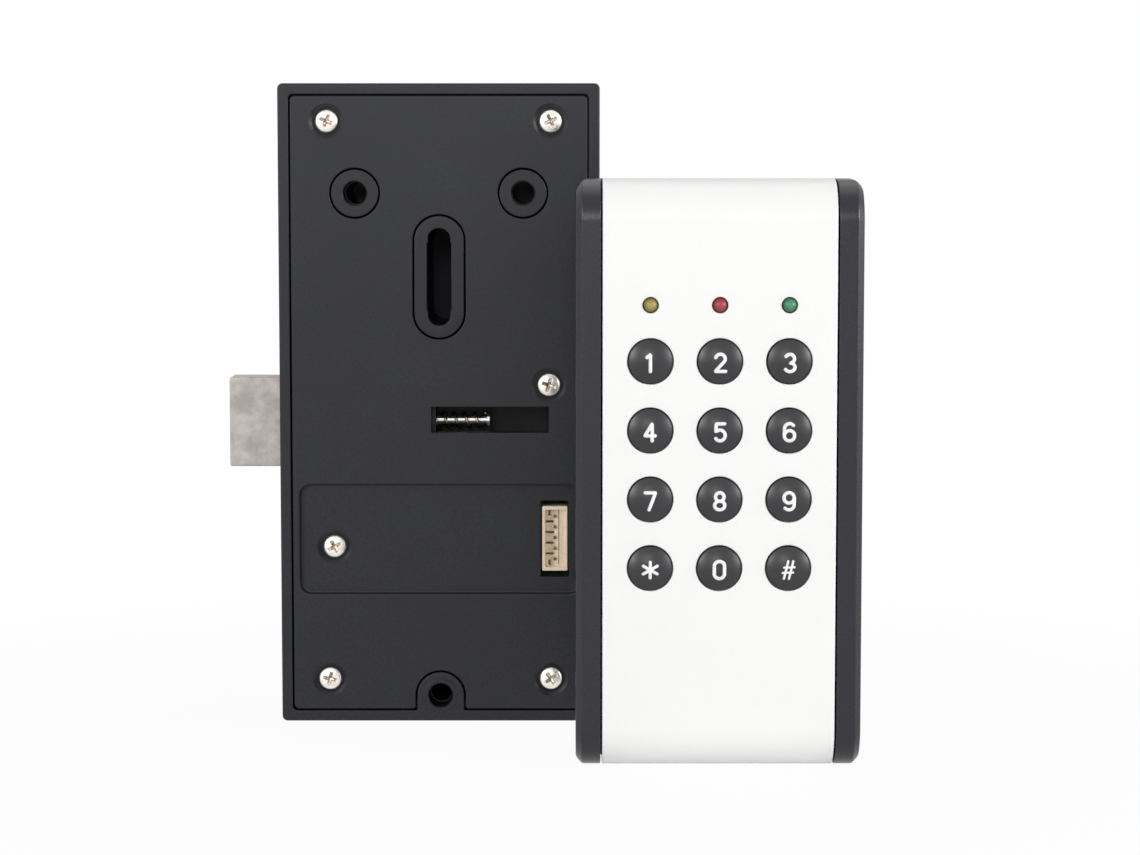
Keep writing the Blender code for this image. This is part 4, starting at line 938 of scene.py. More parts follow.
@dataclass
class LongSlot:
    """The bolt unit's long slot, its ends a little narrower, and the collar round it."""

    z: float = 91.0
    narrow: float = 2.26
    wide: float = 2.46
    reach: float = 9.85
    end_radius: float = 2.21
    shoulder: float = 6.8
    shoulder_radius: float = 0.3
    narrow_from: float = 0.25
    wide_to: float = 0.1
    edge: float = 0.2
    collar_half: float = 5.05
    collar_reach: float = 12.35
    steps: int = 10

    def outline(self) -> Array:
        """Outline of the slot: one side's points, and the same turned half round.

        Returns:
            The outline.
        """
        right = [(self.narrow, -self.reach), (self.narrow, -self.shoulder - self.narrow_from),
                 (self.wide, -self.shoulder + self.wide_to),
                 (self.wide, self.shoulder - self.wide_to),
                 (self.narrow, self.shoulder + self.narrow_from), (self.narrow, self.reach)]
        corners = right + [(-across, along) for across, along in reversed(right)]
        radii = ([self.end_radius] + [self.shoulder_radius] * 4 + [self.end_radius]) * 2
        return rounded(corners, radii, self.steps) + np.array([0.0, self.z])

    def collar(self, past: float = 0.0) -> Array:
        """Outline of the collar with half-round ends, grown by a gap."""
        half, reach = self.collar_half + past, self.collar_reach + past
        return rectangle(-half, self.z - reach, half, self.z + reach, half - ALMOST, END_STEPS)


@dataclass
class Coil:
    """The drive coil, a right-handed helix of round wire round the output shaft."""

    pitch: float = 2.14
    radius: float = 1.55
    wire: float = 0.3
    end_share: float = 0.8
    # Places along X from the carriage: the pin that rides in the coil, and the coil's ends.
    pin: float = 1.75
    start: float = 0.55
    end: float = 13.65
    steps: int = 480
    around: int = 14

    def make(self, origin: Place, carriage: float, depth: float, z: float) -> None:
        """Make the coil.

        The wire's middle is at (x, -R sin a, R cos a), where the angle a grows by a full turn
        for each pitch along x. Its round section stands on the path's own normal and binormal,
        and closes at both ends.

        Args:
            origin: the unit's origin.
            carriage: where the bolt's carriage starts, from which the coil is placed.
            depth: depth of the coil's axis.
            z: height of its axis.
        """
        along = np.linspace(carriage + self.start, carriage + self.end, self.steps)
        angle = pi + 2 * pi * (along - (carriage + self.pin)) / self.pitch
        path = np.stack([along, -self.radius * np.sin(angle), self.radius * np.cos(angle)], 1)
        tangent = unit_rows(np.gradient(path, axis=0))
        outward = unit_rows(path * np.array([0.0, 1.0, 1.0]))
        normal = unit_rows(outward - tangent * (outward * tangent).sum(1, keepdims=True))
        binormal = np.cross(tangent, normal)
        turn = (np.arange(self.around) * 2 * pi / self.around)[None, :, None]
        size = np.full(len(along), self.wire)
        size[[0, -1]] = 0.0
        size[[1, -2]] = self.wire * self.end_share
        grid = path[:, None] + size[:, None, None] * (normal[:, None] * np.cos(turn)
                                                      + binormal[:, None] * np.sin(turn))
        grid += np.array([0.0, depth, z])
        skin = Skin(origin)
        skin.net(grid[..., [0, 2, 1]])
        finish_piece(skin.mesh("drive_coil_wire"), Finishes.WIRE, "drive", "nickel_steel",
                     "drive_coil", sharp=WIRE_SHARP)


@dataclass
class Socket:
    """The cream socket: a thin-walled open shell with slots beside its pins.

    A slot's three sizes are where it starts, its length across and its height.
    """

    x: float = 23.4
    z: float = 37.5
    width: float = 5.2
    height: float = 13.3
    top: float = 1.5
    ledge: float = 2.3
    floor: float = 3.3
    slot_floor: float = 5.4
    foot: float = 9.6
    left_wall: float = 0.6
    right_wall: float = 0.35
    back_wall: float = 1.63
    end_wall: float = 0.75
    step: float = 0.02
    corner: float = 0.25
    mouth_corner: float = 0.12
    edge: float = 0.12
    mouth_edge: float = 0.08
    slot_corner: float = 0.04
    steps: int = 4
    mouth_steps: int = 2
    slot_steps: int = 1
    pins: int = 4
    pin_pitch: float = 2.2
    pin_slot: tuple[float, float, float] = (0.75, 1.65, 0.46)
    end_slot: tuple[float, float, float] = (1.25, 0.5, 1.15)
    end_slot_side: float = 5.1
    back_slot: tuple[float, float, float] = (-0.25, 0.17, 11.2)

    def slots(self, left: float, inner: float) -> list[Array]:
        """Outlines of the slots in the floor.

        Args:
            left: the shell's left side.
            inner: the right side of the floor, from which the back slot is placed.

        Returns:
            The outlines.
        """
        middle = (self.pins - 1) / 2
        places = [(left, self.z + (number - middle) * self.pin_pitch, self.pin_slot)
                  for number in range(self.pins)]
        places += [(left, self.z + side * self.end_slot_side, self.end_slot) for side in SIDES]
        places += [(inner, self.z, self.back_slot)]
        return [rectangle(start + near, z - height / 2, start + near + length, z + height / 2,
                          self.slot_corner, self.slot_steps)
                for start, z, (near, length, height) in places]

    def make(self, origin: Place) -> None:
        """Make the socket's shell.

        Args:
            origin: the unit's origin.
        """
        skin = Skin(origin)
        left, right = self.x - self.width / 2, self.x + self.width / 2
        low, high = self.z - self.height / 2, self.z + self.height / 2
        outline = rectangle(left, low, right, high, self.corner, self.steps)
        first, last = skin.carry(outline, profile(
            fillet((0, self.top), (-1, 0), (0, 1), self.edge, SMALL_STEPS), (0, self.foot)))
        skin.sheet(self.foot, last)
        mouth = rectangle(left + self.left_wall, low + self.end_wall, right - self.right_wall,
                          high - self.end_wall, self.mouth_corner, self.mouth_steps)
        rim, shelf = skin.carry(mouth, hole(self.top, self.ledge, self.mouth_edge, SMALL_STEPS))
        skin.sheet(self.top, first, rim)
        inner, wall = right - self.back_wall, self.end_wall + self.step
        well, base = skin.carry(rectangle(left + self.left_wall + self.step, low + wall, inner,
                                          high - wall, self.mouth_corner, self.mouth_steps),
                                [(0, self.ledge), (0, self.floor)])
        skin.sheet(self.ledge, shelf, well)
        rings = []
        for outline in self.slots(left, inner):
            ring, end = skin.carry(outline, [(0, self.floor), (0, self.slot_floor)])
            skin.sheet(self.slot_floor, end)
            rings.append(ring)
        skin.sheet(self.floor, base, *rings)
        finish_piece(skin.mesh("lock_socket_shell"), Finishes.SOCKET, "root", "cream_nylon",
                     "lock_socket")


@dataclass
class BatteryBay:
    """The battery bay in the bolt unit's back, its lid and the lid's grip grooves."""

    seat: Box = (-23.8, 13.1, 23.8, 67.6)
    seat_corner: float = 2.0
    seat_edge: float = 0.2
    seat_depth: float = 27.1
    bay: Box = (-21.9, 15.0, 21.9, 65.7)
    bay_corner: float = 0.4
    bay_floor: float = 16.3
    lid_edge: float = 0.3
    grooves: int = 4
    groove_low: float = 18.4
    groove_pitch: float = 2.2
    groove_half: float = 8.0
    groove_height: float = 0.9
    groove_edge: float = 0.1
    groove_depth: float = 0.5

    def sink(self, skin: Skin, back: float) -> Array:
        """Sink the lid's seat and the bay into a casing.

        Args:
            skin: the casing's surface.
            back: depth of its back.

        Returns:
            The seat's ring in the back.
        """
        mouth, seat = skin.carry(rectangle(*self.seat, self.seat_corner), profile(
            fillet((0, back), (1, 0), (0, -1), self.seat_edge), (0, self.seat_depth)))
        rim, floor = skin.carry(rectangle(*self.bay, self.bay_corner, SMALL_STEPS),
                                [(0, self.seat_depth), (0, self.bay_floor)])
        skin.sheet(self.seat_depth, seat, rim)
        skin.sheet(self.bay_floor, floor)
        return mouth

    def lid(self, skin: Skin, back: float, gap: float) -> None:
        """The battery lid, with grip grooves near its lower edge.

        Args:
            skin: a new surface.
            back: depth of the lid's outer face.
            gap: play between the lid and its seat.
        """
        near, bottom = self.seat_depth + gap, back - self.groove_depth
        outline = rectangle(*grown(self.seat, -gap), self.seat_corner - gap)
        outer, inner = skin.carry(outline, profile(
            fillet((0, back), (-1, 0), (0, -1), self.lid_edge), (0, near)))
        rings = []
        for number in range(self.grooves):
            low = self.groove_low + number * self.groove_pitch
            groove = rectangle(-self.groove_half, low, self.groove_half,
                               low + self.groove_height, self.groove_height / 2 - ALMOST)
            first, last = skin.carry(groove, profile(
                fillet((0, back), (1, 0), (0, -1), self.groove_edge, SMALL_STEPS),
                (-self.groove_edge, bottom)))
            skin.sheet(bottom, last)
            rings.append(first)
        skin.sheet(back, outer, *rings)
        skin.sheet(near, inner)
        finish_piece(skin.mesh("battery_lid_plate"), Finishes.CASING, "battery_lid",
                     "black_abs", "battery_lid")


@dataclass
class BoltUnit:
    """The unit for the inside of the door, in millimetres from its centre line and front."""

    x: float
    y: float
    slot: LongSlot = field(default_factory=LongSlot)
    coil: Coil = field(default_factory=Coil)
    socket: Socket = field(default_factory=Socket)
    bay: BatteryBay = field(default_factory=BatteryBay)
    screw: PanScrew = PanScrew()
    width: float = 65.0
    height: float = 130.0
    depth: float = 29.0
    wall: float = 2.2
    gap: float = 0.3
    # The casing's edges, the seat of the cover with its arch, and the floors.
    corner: float = 1.1
    edge: float = 0.4
    back_edge: float = 1.0
    seat_corner: float = 1.0
    seat_edge: float = 0.22
    arch_foot: float = 0.35
    arch_gap: float = 0.02
    ledge_depth: float = 3.0
    ledge: float = 1.8
    floor: float = 14.8
    pocket_floor: float = 26.8
    pocket_low: float = 74.5
    # The posts and the fixing bores through them. The low post's front is a raised lip.
    post_radius: float = 4.8
    post_side: float = 17.0
    post_high: float = 107.9
    post_low: float = 5.3
    post_edge: float = 0.25
    lip: tuple = ((3.55, 0.0), (3.4, -0.12), (3.3, -0.2), (2.7, -0.2), (2.55, -0.1), (2.4, 0.15))
    mouth: float = 2.4
    mouth_edge: float = 0.22
    mouth_depth: float = 6.0
    bore: float = 2.2
    sink: float = 4.2
    sink_depth: float = 25.8
    back_chamfer: float = 0.2
    # Bosses: where the cover's screws stand, with their recess's depth, and the board's.
    screw_places: tuple = ((-22.6, 122.4, 0.0), (22.6, 122.4, 0.0), (22.2, 69.1, 0.0),
                           (-21.6, 35.9, 1.2), (-22.6, 8.8, 0.0), (22.6, 8.8, 0.0))
    board_bosses: tuple = ((-9.0, 19.5), (-9.0, 44.5))
    boss_radius: float = 3.0
    board_boss_radius: float = 2.5
    board_depth: float = 11.8
    pilot: float = 1.3
    pilot_base: float = 0.4
    # The bolt, and the rails that guide it.
    bolt_z: float = 61.2
    bolt_front: float = 4.6
    bolt_thick: float = 8.0
    bolt_height: float = 18.3
    bolt_arm: float = 4.6
    bolt_edge: float = 0.28
    tip: float = -43.2
    tip_corner: float = 0.4
    fork_corner: float = 0.3
    root_corner: float = 0.5
    nose: float = 15.0
    carriage: float = -4.5
    rail: float = 2.0
    rail_inset: float = 1.2
    rail_end: float = 10.0
    rail_corner: float = 0.3
    rail_step: float = 0.01
    overlap: float = 1.0
    # The cover plate's edges, window, recess with its cut-out, and counterbores.
    cover_edge: float = 0.28
    cover_foot: float = 0.6
    window: Box = (-1.7, 59.35, 22.2, 64.65)
    window_corner: float = 0.15
    window_edge: float = 0.1
    recess: float = 1.2
    recess_box: Box = (-28.5, 26.35, 28.5, 48.65)
    recess_corner: float = 2.1
    recess_edge: float = 0.42
    recess_foot: float = 0.35
    cut_out: Box = (20.5, 29.65, 26.3, 45.35)
    cut_out_corner: float = 0.2
    cut_out_edge: float = 0.12
    head_hole: float = 2.7
    head_depth: float = 1.0
    head_seat: float = 0.7
    chamfer: tuple[float, float] = (0.85, 0.6)
    chamfer_run: tuple[float, float] = (0.82, -0.57)
    chamfer_edge: float = 0.12
    first_twist: float = 0.35
    more_twist: float = 0.83

    @property
    def origin(self) -> Place:
        """The unit's centre line, mounting face and foot."""
        return (self.x, self.y, 0.0)

    def skin(self) -> Skin:
        """A new surface in the unit's own millimetres."""
        return Skin(self.origin)

    def notch(self, half: float, low: float, side: float, high: float, radius: float,
              foot: float, extra: tuple = ()) -> Array:
        """Outline of a field whose lower edge rises in an arch round the low post.

        Args:
            half: half width of the arch.
            low: height of the field's lower edge.
            side: half width of the field.
            high: height of its upper edge.
            radius: radius of its corners.
            foot: radius of the arch's feet.
            extra: heights of further points up the right side, mirrored on the left.

        Returns:
            The outline.
        """
        top = self.post_low + half
        arch = half * ARCH_SHARE
        feet = [(-side, low), (-half, low), (-half, top), (half, top), (half, low), (side, low)]
        right = [(side, z) for z in extra]
        left = [(-side, z) for z in reversed(extra)]
        corners = feet + right + [(side, high), (-side, high)] + left
        radii = ([radius, foot, arch, arch, foot, radius]
                 + [0] * len(right) + [radius, radius] + [0] * len(left))
        return rounded(corners, radii, ARCH_STEPS)

    def casing(self) -> None:
        """The moulded casing: rim, posts, collar, rails and battery bay, as one surface."""
        skin = self.skin()
        half = self.width / 2
        outer = rectangle(-half, 0, half, self.height, self.corner)
        front, back = skin.carry(outer, profile(
            fillet((0, 0), (-1, 0), (0, 1), self.edge),
            fillet((0, self.depth), (0, -1), (-1, 0), self.back_edge)))
        seat = self.notch(self.post_radius, self.wall, half - self.wall,
                          self.height - self.wall, self.seat_corner, self.arch_foot)
        seat_front, seat_back = skin.carry(seat, hole(0, self.ledge_depth, self.seat_edge))
        inner = half - self.wall - self.ledge
        low, high = self.wall + self.ledge, self.height - self.wall - self.ledge
        cavity = self.notch(self.post_radius + self.arch_gap, low, inner, high, 0, 0,
                            (self.pocket_low,))
        cavity_front, _ = skin.carry(cavity, [(0, self.ledge_depth), (0, self.floor)])
        skin.sheet(self.ledge_depth, seat_back, cavity_front)

        fixing = [(self.mouth, self.mouth_depth), (self.bore, self.mouth_depth),
                  (self.bore, self.sink_depth), (self.sink, self.sink_depth)]
        ring_front, ring_back = skin.turn(0, self.post_low,
                                          [*self.lip, *fixing, (self.sink, self.depth)])
        skin.sheet(0, front, seat_front, ring_front)

        bosses = [self.boss(skin, x, z, self.floor) for x, z, _ in self.screw_places[2:]]
        bosses += [self.boss(skin, x, z, self.floor, self.board_depth, self.board_boss_radius)
                   for x, z in self.board_bosses]
        lower = cavity[cavity[:, 1] < self.pocket_low + NEAR]
        skin.sheet(self.floor, lower, *bosses)

        pocket = np.array([(-inner, self.pocket_low), (inner, self.pocket_low), (inner, high),
                           (-inner, high)])
        skin.carry(pocket, [(0, self.floor), (0, self.pocket_floor)])
        chamfered = self.depth - self.back_chamfer
        standing = fillet((0, 0), (0, 1), (-1, 0), self.post_edge)
        post = profile((self.post_radius, self.pocket_floor),
                       standing + np.array([self.post_radius, 0.0]),
                       (self.mouth + self.mouth_edge, 0.0), (self.mouth, self.mouth_edge),
                       *fixing, (self.sink, chamfered),
                       (self.sink + self.back_chamfer, self.depth))
        feet, mouths = [], [ring_back]
        for side, (x, z, _) in zip(SIDES, self.screw_places):
            foot, mouth = skin.turn(side * self.post_side, self.post_high, post)
            feet += [foot, self.boss(skin, x, z, self.pocket_floor)]
            mouths.append(mouth)
        foot, top = skin.carry(self.slot.collar(), profile((0, self.pocket_floor), standing))
        feet.append(foot)
        slot_front, slot_back = skin.carry(self.slot.outline(), profile(
            hole(0, chamfered, self.slot.edge), (self.back_chamfer, self.depth)))
        skin.sheet(0, top, slot_front)
        skin.sheet(self.pocket_floor, pocket, *feet)
        skin.sheet(self.depth, back, slot_back, self.bay.sink(skin, self.depth), *mouths)

        mesh = combine(skin.mesh("lock_casing_shell"), self.rails(), "UNION")
        slit = self.skin()
        reach = self.bolt_height / 2 + self.gap
        block(slit, rectangle(-half - self.overlap, self.bolt_z - reach, -inner + self.overlap,
                              self.bolt_z + reach, self.rail_corner, SMALL_STEPS),
              self.bolt_front - self.gap, self.bolt_front + self.bolt_thick + self.gap)
        mesh = combine(mesh, slit.mesh("slit"), "DIFFERENCE")
        finish_piece(mesh, Finishes.CASING, "root", "black_abs", "lock_casing")

    def boss(self, skin: Skin, x: float, z: float, floor: float, top: float | None = None,
             radius: float | None = None) -> Array:
        """Raise a screw boss from a floor.

        Args:
            skin: the casing's surface.
            x: the boss's place across.
            z: its height.
            floor: the floor's depth.
            top: depth of the boss's end, or the cover's ledge.
            radius: its radius, or that of the cover's bosses.

        Returns:
            The ring of its foot.
        """
        end, wide = top or self.ledge_depth, radius or self.boss_radius
        base = floor - self.pilot_base
        foot, last = skin.turn(x, z, [(wide, floor), (wide, end), (self.pilot, end),
                                      (self.pilot, base)], FEW_STEPS)
        skin.sheet(base, last)
        return foot

    def rails(self) -> bpy.types.Mesh:
        """The two rails beside the bolt and the pad behind it, one block each.

        Returns:
            Their mesh.
        """
        skin = self.skin()
        left, end = self.rail_inset - self.width / 2, self.floor + self.overlap
        inside = self.bolt_height / 2 + self.gap
        near = inside - self.rail_step
        pad_front = self.bolt_front + self.bolt_thick + self.gap
        for low, high, front in (
                (self.bolt_z - inside - self.rail, self.bolt_z - inside, self.bolt_front),
                (self.bolt_z + inside, self.bolt_z + inside + self.rail, self.bolt_front),
                (self.bolt_z - near, self.bolt_z + near, pad_front)):
            block(skin, rectangle(left, low, self.rail_end, high, self.rail_corner, SMALL_STEPS),
                  front, end)
        return skin.mesh("rails")

    def cover(self) -> None:
        """The cover plate: its window, recess, counterbores and cut-outs have eased edges."""
        skin = self.skin()
        back = self.ledge_depth - self.gap
        inset, radius = self.wall + self.gap, self.post_radius + self.gap
        outline = self.notch(radius, inset, self.width / 2 - inset, self.height - inset,
                             self.seat_corner, self.cover_foot)
        front, rear = skin.carry(outline, profile(
            fillet((0, 0), (-1, 0), (0, 1), self.cover_edge), (0, back)))
        eased = hole(0, back, self.seat_edge)
        window = rectangle(*self.window, self.window_corner, SMALL_STEPS)
        through = [skin.carry(self.slot.collar(self.gap), eased),
                   skin.carry(window, hole(0, back, self.window_edge))]
        through += [skin.turn(side * self.post_side, self.post_high,
                              eased + np.array([radius, 0.0]), FINE_STEPS) for side in SIDES]
        fronts = [front, *(first for first, _ in through)]
        rears = [rear, *(last for _, last in through)]
        sunk = []
        for x, z, surface in self.screw_places:
            first, last = skin.turn(x, z, self.pocket(surface, back))
            rears.append(last)
            (sunk if surface else fronts).append(first)
        recess = rectangle(*self.recess_box, self.recess_corner, CORNER_STEPS)
        first, floor_edge = skin.carry(recess, profile(
            fillet((0, 0), (1, 0), (0, 1), self.recess_edge),
            fillet((0, self.recess), (0, -1), (-1, 0), self.recess_foot)))
        fronts.append(first)
        first, last = skin.carry(rectangle(*self.cut_out, self.cut_out_corner, SMALL_STEPS),
                                 hole(self.recess, back, self.cut_out_edge))
        sunk.append(first)
        rears.append(last)
        skin.sheet(0, *fronts)
        skin.sheet(self.recess, floor_edge, *sunk)
        skin.sheet(back, *rears)
        finish_piece(skin.mesh("lock_cover_plate"), Finishes.CASING, "root", "black_abs",
                     "lock_cover")

    def pocket(self, surface: float, back: float) -> Array:
        """Profile of a screw's counterbore: chamfer, wall, seat and the shank's hole.

        Args:
            surface: depth of the face it is sunk into.
            back: depth of the plate's back.

        Returns:
            Rows of radius and depth.
        """
        wide, deep = self.chamfer
        bore, seat = self.head_hole, surface + self.head_depth
        return profile((bore + wide, surface),
                       fillet((bore, surface + deep), self.chamfer_run, (0, 1),
                              self.chamfer_edge, SMALL_STEPS),
                       (bore, seat), (self.pilot, seat), (self.pilot, back))

    def screws(self) -> None:
        """The six cover screws, each turned a little further than the one before."""
        for number, (x, z, surface) in enumerate(self.screw_places, 1):
            self.screw.make(f"cover_screw_head_{number}", f"cover_screw_{number}", self.origin,
                            (x, z, surface + self.head_seat), -1,
                            self.first_twist + number * self.more_twist)

    def bolt(self) -> None:
        """The square bolt and its fork, with eased edges."""
        skin = self.skin()
        low, high = self.bolt_z - self.bolt_height / 2, self.bolt_z + self.bolt_height / 2
        under, over = self.bolt_z - self.bolt_arm, self.bolt_z + self.bolt_arm
        end, root = self.carriage - self.gap, self.tip + self.nose
        fork = [self.fork_corner] * 2
        outline = rounded([(self.tip, low), (end, low), (end, under), (root, under),
                           (root, over), (end, over), (end, high), (self.tip, high)],
                          [self.tip_corner, *fork, self.root_corner, self.root_corner, *fork,
                           self.tip_corner], FILLET_STEPS)
        depth = self.bolt_front + self.bolt_thick
        first, last = skin.carry(outline, profile(
            fillet((0, self.bolt_front), (-1, 0), (0, 1), self.bolt_edge),
            fillet((0, depth), (0, -1), (-1, 0), self.bolt_edge)))
        skin.sheet(self.bolt_front, first)
        skin.sheet(depth, last)
        finish_piece(skin.mesh("bolt_bar"), Finishes.BOLT, "bolt", "bolt_steel", "bolt")

    def make(self) -> None:
        """Make every piece of the unit."""
        self.casing()
        self.cover()
        self.screws()
        self.bolt()
        self.coil.make(self.origin, self.carriage, self.bolt_front + self.bolt_thick / 2,
                       self.bolt_z)
        self.socket.make(self.origin)
        self.bay.lid(self.skin(), self.depth, self.gap)


# Keypad


def arc(x: float, z: float, wide: float, tall: float, start: float, end: float,
        steps: int = END_STEPS) -> Array:
    """Points of an ellipse's arc between two angles in degrees."""
    angle = np.radians(np.linspace(start, end, steps + 1))
    return np.stack([x + wide * np.cos(angle), z + tall * np.sin(angle)], 1)


def even(path: Array, step: float) -> Array:
    """Put a path's points at even steps along it.

    Args:
        path: points of the path.
        step: the longest step.

    Returns:
        The new points, from the path's first to its last.
    """
    along = np.concatenate([[0], np.cumsum(np.linalg.norm(np.diff(path, axis=0), axis=1))])
    places = np.linspace(0, along[-1], max(2, int(np.ceil(along[-1] / step)) + 1))
    return np.stack([np.interp(places, along, path[:, part]) for part in (0, 1)], 1)


@dataclass(frozen=True)
class Legend:
    """A key's sign, drawn as strokes of one width with round ends."""

    name: str
    width: float = 0.64
    # How far the sign lies under the key's middle and over its dome, and the ink's thickness.
    below: float = 0.2
    lift: float = 0.018
    film: float = 0.03
    # The longest step along a stroke, how near points become one, and edges of a round end.
    step: float = 0.12
    near: float = 1e-4
    cap_steps: int = 9

    def strokes(self) -> list[Array]:
        """Middle lines of the sign's strokes, in millimetres round its own centre.

        Returns:
            The strokes, their points at even steps.
        """
        bowl = [arc(0, 0.8, 0.85, 0.8, 150, -90, 20), arc(0, -0.81, 0.95, 0.81, 90, -150, 20)]
        ring = rounded([(-0.95, -1.62), (0.95, -1.62), (0.95, 1.62), (-0.95, 1.62)], 0.9,
                       CORNER_STEPS)
        six = np.concatenate([arc(0.0, 0.65, 0.95, 0.97, 40, 180, 14),
                              arc(0.0, -0.65, 0.95, 0.97, 180, 360, 20),
                              arc(0.0, -0.65, 0.95, 0.97, 0, 160, 20)])
        shapes = {
            "0": [np.vstack([ring, ring[:1]])],
            "1": [[(-0.7, 1.0), (-0.05, 1.58), (-0.05, -1.62)]],
            "2": [np.concatenate([arc(0, 0.75, 0.9, 0.87, 165, -30, 20),
                                  [(-0.95, -1.6), (1.0, -1.6)]])],
            "3": [np.concatenate(bowl)],
            "4": [[(0.3, -1.62), (0.3, 1.58), (-1.05, -0.68), (0.85, -0.68)]],
            "5": [np.concatenate([[(0.85, 1.58), (-0.68, 1.58), (-0.8, 0.15)],
                                  arc(0, -0.6, 0.95, 1.02, 125, -145)])],
            "6": [six],
            "7": [[(-0.95, 1.58), (0.95, 1.58), (-0.25, -1.62)]],
            "8": [arc(0, 0.82, 0.8, 0.8, 0, 360), arc(0, -0.78, 0.95, 0.84, 0, 360)],
            "9": [-six],
            "star": [[(-reach * np.cos(turn), -reach * np.sin(turn)),
                      (reach * np.cos(turn), reach * np.sin(turn))]
                     for turn, reach in zip(np.radians([90, 30, 150]), (1.48, 1.5, 1.5))],
            "hash": [[(-0.87, -1.66), (-0.07, 1.66)], [(0.07, -1.66), (0.87, 1.66)],
                     [(-1.1, -0.54), (0.82, -0.46)], [(-0.82, 0.46), (1.1, 0.54)]],
        }
        return [even(np.asarray(shape, float), self.step) for shape in shapes[self.name]]

    def outline(self, path: Array) -> Array:
        """Outline of a stroke: its middle line moved to both sides and joined by half circles.

        Args:
            path: the stroke's middle line.

        Returns:
            The closed outline.
        """
        ahead = unit_rows(np.gradient(path, axis=0))
        side = np.stack([ahead[:, 1], -ahead[:, 0]], 1) * self.width / 2
        turn = np.linspace(0, pi, self.cap_steps + 1)[1:-1, None]
        caps = [end + edge * np.cos(turn) + np.array([-edge[1], edge[0]]) * np.sin(turn)
                for end, edge in ((path[-1], side[-1]), (path[0], -side[0]))]
        return np.concatenate([path + side, caps[0], (path - side)[::-1], caps[1]])

    def print_on(self, key: Key, origin: Place, x: float, z: float) -> None:
        """Lay the sign on a key's dome.

        The strokes' outlines make a Delaunay net, a triangle stays where its middle lies within
        half a stroke's width of a middle line, and each point takes the dome's height.

        Args:
            key: the key it is printed on.
            origin: the keypad's origin.
            x: the key's place across.
            z: its height.
        """
        paths = self.strokes()
        middles = np.concatenate(paths)
        net, triangles = triangulate([self.outline(path) for path in paths], middles, self.near)
        centre = net[triangles].mean(1)
        away = np.linalg.norm(centre[:, None] - middles[None], axis=2).min(1)
        kept = triangles[away < self.width / 2]
        net[:, 1] -= self.below
        rise = key.dome(np.linalg.norm(net, axis=1)) + self.lift
        skin = Skin(origin)
        skin.add(np.column_stack([net + np.array([x, z]), -rise]), kept)
        mesh = skin.mesh(f"key_sign_{self.name}", orient=False)
        face_front(mesh)
        sign = finish_piece(mesh, Finishes.INK, f"key_{self.name}", "key_plastic")
        film = sign.modifiers.new("film", "SOLIDIFY")
        film.thickness = self.film * MM
        film.offset = -1.0


@dataclass
class Key:
    """A domed key cap on a flange."""

    radius: float = 4.08
    top: float = 1.18
    sphere: float = 8.6
    edge: float = 0.15
    edge_run: tuple[float, float] = (-0.92, -0.39)
    flange: float = 5.1
    flange_top: float = 2.3
    flange_foot: float = 3.3
    rings: int = 20

    def dome(self, reach: Array | float) -> Array:
        """Height of the crown above the face: a cap of a sphere."""
        return self.top - self.sphere + np.sqrt(self.sphere ** 2 - np.asarray(reach) ** 2)

    def make(self, name: str, origin: Place, x: float, z: float) -> None:
        """Make the key's cap: the dome's profile and the flange, turned round the key's axis.

        Args:
            name: the key's name.
            origin: the keypad's origin.
            x: the key's place across.
            z: its height.
        """
        reach = np.linspace(0, self.radius - self.edge, self.rings)
        rim = (self.radius, -float(self.dome(self.radius)))
        skin = Skin(origin)
        skin.turn(x, z, profile(
            np.column_stack([reach, -self.dome(reach)]),
            fillet(rim, self.edge_run, (0, 1), self.edge), (self.radius, self.flange_top),
            (self.flange, self.flange_top), (self.flange, self.flange_foot),
            (0, self.flange_foot)))
        finish_piece(skin.mesh(f"key_cap_{name}"), Finishes.KEY, f"key_{name}", "key_plastic",
                     f"key_{name}")


@dataclass
class Lamp:
    """A lamp: a low dome of tinted epoxy on a flange, with two legs."""

    radius: float = 1.42
    proud: float = 0.7
    flange: float = 1.8
    flange_top: float = 2.3
    flange_foot: float = 3.1
    leg_side: float = 0.65
    leg_radius: float = 0.3
    leg_top: float = 3.0
    leg_end: float = 7.6
    rings: int = 14
    around: int = 48
    leg_around: int = 16

    def make(self, name: str, tones: tuple[str, str], origin: Place, x: float,
             z: float) -> None:
        """Make the lens, a quarter circle turned round its axis, and the legs.

        Args:
            name: the lamp's colour.
            tones: its lens's sRGB tones: painted shade at the rim and painted light in the middle.
            origin: the keypad's origin.
            x: the lamp's place across.
            z: its height.
        """
        bend = np.linspace(0, pi / 2, self.rings)
        dome = self.radius * np.column_stack([np.sin(bend), 1 - np.cos(bend)])
        lens = Skin(origin)
        lens.turn(x, z, profile(
            dome - np.array([0.0, self.proud]), (self.radius, self.flange_top),
            (self.flange, self.flange_top), (self.flange, self.flange_foot),
            (0, self.flange_foot)), self.around)
        centre = ((origin[0] + x) * MM, origin[1] * MM, z * MM)
        epoxy = Lens(f"diffused_{name}_epoxy", *tones, centre, self.radius)
        finish_piece(lens.mesh(f"lamp_lens_{name}"), epoxy, "root", f"{name}_epoxy",
                     f"lamp_{name}")
        legs = Skin(origin)
        for side in SIDES:
            legs.turn(x + side * self.leg_side, z, [
                (0, self.leg_top), (self.leg_radius, self.leg_top),
                (self.leg_radius, self.leg_end), (0, self.leg_end)], self.leg_around)
        finish_piece(legs.mesh(f"lamp_legs_{name}"), Finishes.NICKEL, "root", "nickel_steel")


